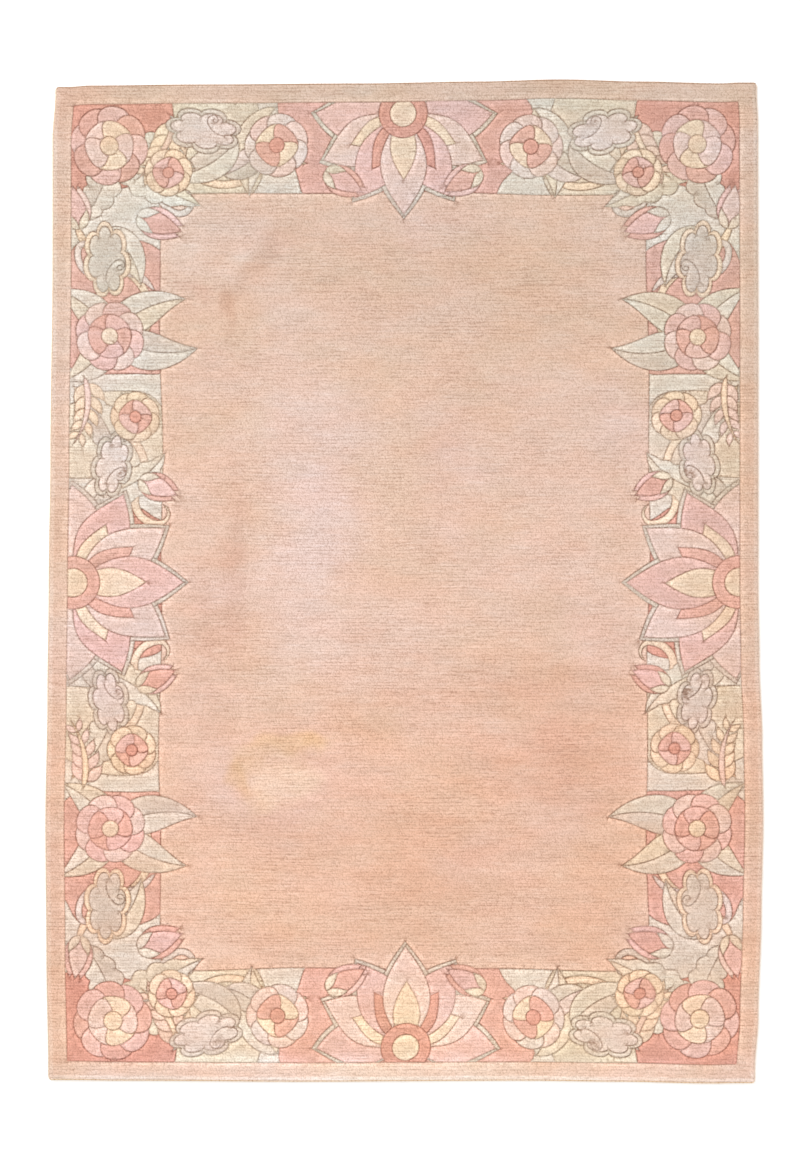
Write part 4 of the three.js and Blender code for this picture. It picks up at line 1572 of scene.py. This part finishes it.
@dataclass
class Studio:
    """The pale floor, the soft light and the camera straight above the rug.

    The camera's frame is 800 by 1153 parts of 2.4 mm each, and its middle lies a little beside the rug's.
    Each lamp has a name, a place, a size and its watts.
    """

    frame_parts: tuple[float, float] = (800, 1153)
    part: float = 2.4
    middle: tuple[float, float] = (-10.8, 12.0)
    height: float = 16.0
    sensor: float = 36.0
    floor_reach: float = 60.0
    sky: float = 0.95
    lamps: tuple[tuple[str, tuple[float, float, float], float, float], ...] = (
        ("key", (-3.0, 3.2, 5.2), 3.2, 260.0), ("fill", (3.2, -3.4, 5.4), 4.0, 90.0))

    def floor(self) -> None:
        """Lays the floor."""
        mesh = bpy.data.meshes.new("floor")
        corners = [(x * self.floor_reach, y * self.floor_reach, 0)
                   for x, y in ((-1, -1), (1, -1), (1, 1), (-1, 1))]
        mesh.from_pydata(corners, [], [(0, 1, 2, 3)])
        mesh.materials.append(PaleFloor().material())
        link_object("floor", mesh)

    def light(self, name: str, place: tuple[float, float, float], size: float, watts: float) -> None:
        """Hangs one large soft light that faces the middle of the rug."""
        lamp = bpy.data.lights.new(name, "AREA")
        lamp.shape, lamp.size, lamp.energy = "DISK", size, watts
        hung = link_object(name, lamp)
        hung.location = place
        hung.rotation_euler = (-Vector(place)).to_track_quat("-Z", "Y").to_euler()

    def lights(self) -> None:
        """Sets the sky's even light, one large lamp from the upper left and a weaker one across from it."""
        world = bpy.data.worlds.new("studio")
        world.use_nodes = True
        back = world.node_tree.nodes["Background"]
        back.inputs["Color"].default_value = (1.0, 1.0, 1.0, 1.0)
        back.inputs["Strength"].default_value = self.sky
        bpy.context.scene.world = world
        for lamp in self.lamps:
            self.light(*lamp)

    def camera(self) -> None:
        """Hangs the camera straight above the rug."""
        data = bpy.data.cameras.new("above")
        data.sensor_fit, data.sensor_width = "HORIZONTAL", self.sensor
        data.lens = self.sensor * self.height / (self.frame_parts[0] * self.part * MM)
        above = link_object("above", data)
        above.location = (self.middle[0] * MM, self.middle[1] * MM, self.height + PILE_TOP * MM)
        bpy.context.scene.camera = above

    def build(self) -> None:
        """Builds the whole studio."""
        self.floor()
        self.lights()
        self.camera()
        bpy.context.scene.view_settings.view_transform = "Standard"


SPOTS = tuple(Spot(*row) for row in (
    # The stain: its yellow rim and its pale middle
    (-280, -388, 140, 42, 2, (1.01, 0.99, 0.83), 0.3),
    (-212, -378, 46, 30, 0, (1.0, 0.98, 0.89), 0.2),
    (-376, -428, 66, 60, 0, (1.02, 1.02, 0.93), 0.2),
    (-394, -478, 38, 76, 0, (0.975, 0.92, 0.76), 0.2),
    (-362, -530, 56, 46, 0, (1.0, 0.99, 0.90), 0.2),
    (-288, -485, 125, 88, 0, (1.095, 1.17, 1.09), 0.3),
    # Painted shade: darker streaks along the old folds
    (-332, 790, 50, 175, -42, (0.90, 0.86, 0.83)),
    (-418, 655, 26, 80, -6, (0.89, 0.82, 0.78), 0.1),
    (-495, 693, 80, 34, 0, (0.955, 0.895, 0.885)),
    (-376, 704, 50, 40, 40, (0.955, 0.92, 0.90)),
    (-448, 565, 55, 90, 0, (0.965, 0.945, 0.94)),
    (-407, 100, 40, 400, 0, (0.96, 0.93, 0.925)),
    (-414, 75, 44, 100, 0, (0.955, 0.93, 0.93)),
    (-455, -70, 130, 210, 0, (0.95, 0.91, 0.92)),
    # Paler and cooler pile
    (-230, 330, 230, 330, 0, (1.01, 1.06, 1.14)),
    (-225, 90, 210, 260, 0, (1.01, 1.06, 1.15)),
    (-225, -150, 150, 200, 0, (1.02, 1.06, 1.11)),
    (-520, 850, 190, 130, 0, (0.99, 1.06, 1.10)),
    # Painted highlight along the pale ridge beside the old fold
    (-470, 748, 120, 30, -4, (1.015, 1.05, 1.09)),
    (-390, 782, 64, 28, 20, (1.03, 1.09, 1.13)),
    (-292, 642, 120, 110, 0, (1.005, 1.03, 1.075)),
    (-370, -430, 330, 330, 0, (0.995, 1.035, 1.075)),
    (-370, -760, 400, 220, 0, (1.03, 1.05, 1.03)),
    (110, 300, 150, 300, 0, (0.995, 1.0, 1.07)),
    (-120, 850, 520, 110, 0, (1.0, 1.01, 1.07)),
    (520, 370, 120, 190, 0, (1.0, 1.02, 1.07)),
    (-320, -560, 300, 280, 0, (0.985, 0.995, 1.07)),
    # Duller pile near the top, and warmer pile on the lower right
    (60, 720, 520, 240, 0, (0.96, 0.945, 0.93)),
    (330, 600, 110, 300, 25, (0.985, 0.98, 0.975)),
    (215, -250, 500, 90, 0, (0.97, 0.92, 0.885)),
    (380, -410, 270, 190, 0, (0.94, 0.86, 0.82)),
    (85, -650, 360, 280, 0, (0.98, 0.955, 0.955)),
    (400, -550, 210, 130, 0, (0.95, 0.94, 0.94)),
    (400, -160, 260, 180, 0, (0.975, 0.965, 0.965)),
    (-461, -300, 90, 120, 0, (0.955, 0.945, 0.94)),
    # The bands along the bottom, the top and the right, and the browner corner
    (0, -1060, 1300, 230, 0, (1.12, 1.19, 1.17)),
    (0, -1190, 1500, 84, 0, (1.10, 1.24, 1.39)),
    (0, 1185, 1400, 84, 0, (0.93, 0.975, 0.99)),
    (-800, 1160, 260, 190, 0, (0.97, 0.91, 0.88)),
    (800, 0, 150, 1000, 0, (0.97, 0.94, 0.885)),
))


def main() -> None:
    """Builds the rug's pieces in order and reports each."""
    logging.basicConfig(level=logging.INFO, format="%(name)s: %(message)s")
    edge = RugEdge()
    studio = Studio()
    studio.build()
    cloth = KnottedCloth(edge, FlowerBorder(edge), WoolPile(spots=SPOTS)).build()
    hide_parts("pile_rug")
    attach(cloth, "root")
    log.info("piece %s: %d triangles", cloth.name, sum(len(p.vertices) - 2 for p in cloth.data.polygons))

    bindings = (
        OvercastEdge("binding_bottom", Side.BOTTOM, OvercastYarn("bottom_yarn", "ECCFAB", "BF946A"), edge),
        # The right side's yarn is lighter than the left side's: painted light against the shade on that
        # side.
        OvercastEdge("selvedge_right", Side.RIGHT, OvercastYarn("right_yarn_painted_light", "F6E4D4", "EDD8C4"), edge),
        OvercastEdge("binding_top", Side.TOP, OvercastYarn("top_yarn", "B59276", "8E6C52"), edge),
        OvercastEdge("selvedge_left", Side.LEFT, OvercastYarn("left_yarn", "E3CDB4", "D2B79A"), edge),
    )
    for binding in bindings:
        yarn = binding.build()
        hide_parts(binding.node)
        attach(yarn, "root")
        log.info("piece %s: %d triangles", yarn.name, sum(len(p.vertices) - 2 for p in yarn.data.polygons))


if __name__ == "__main__":
    main()
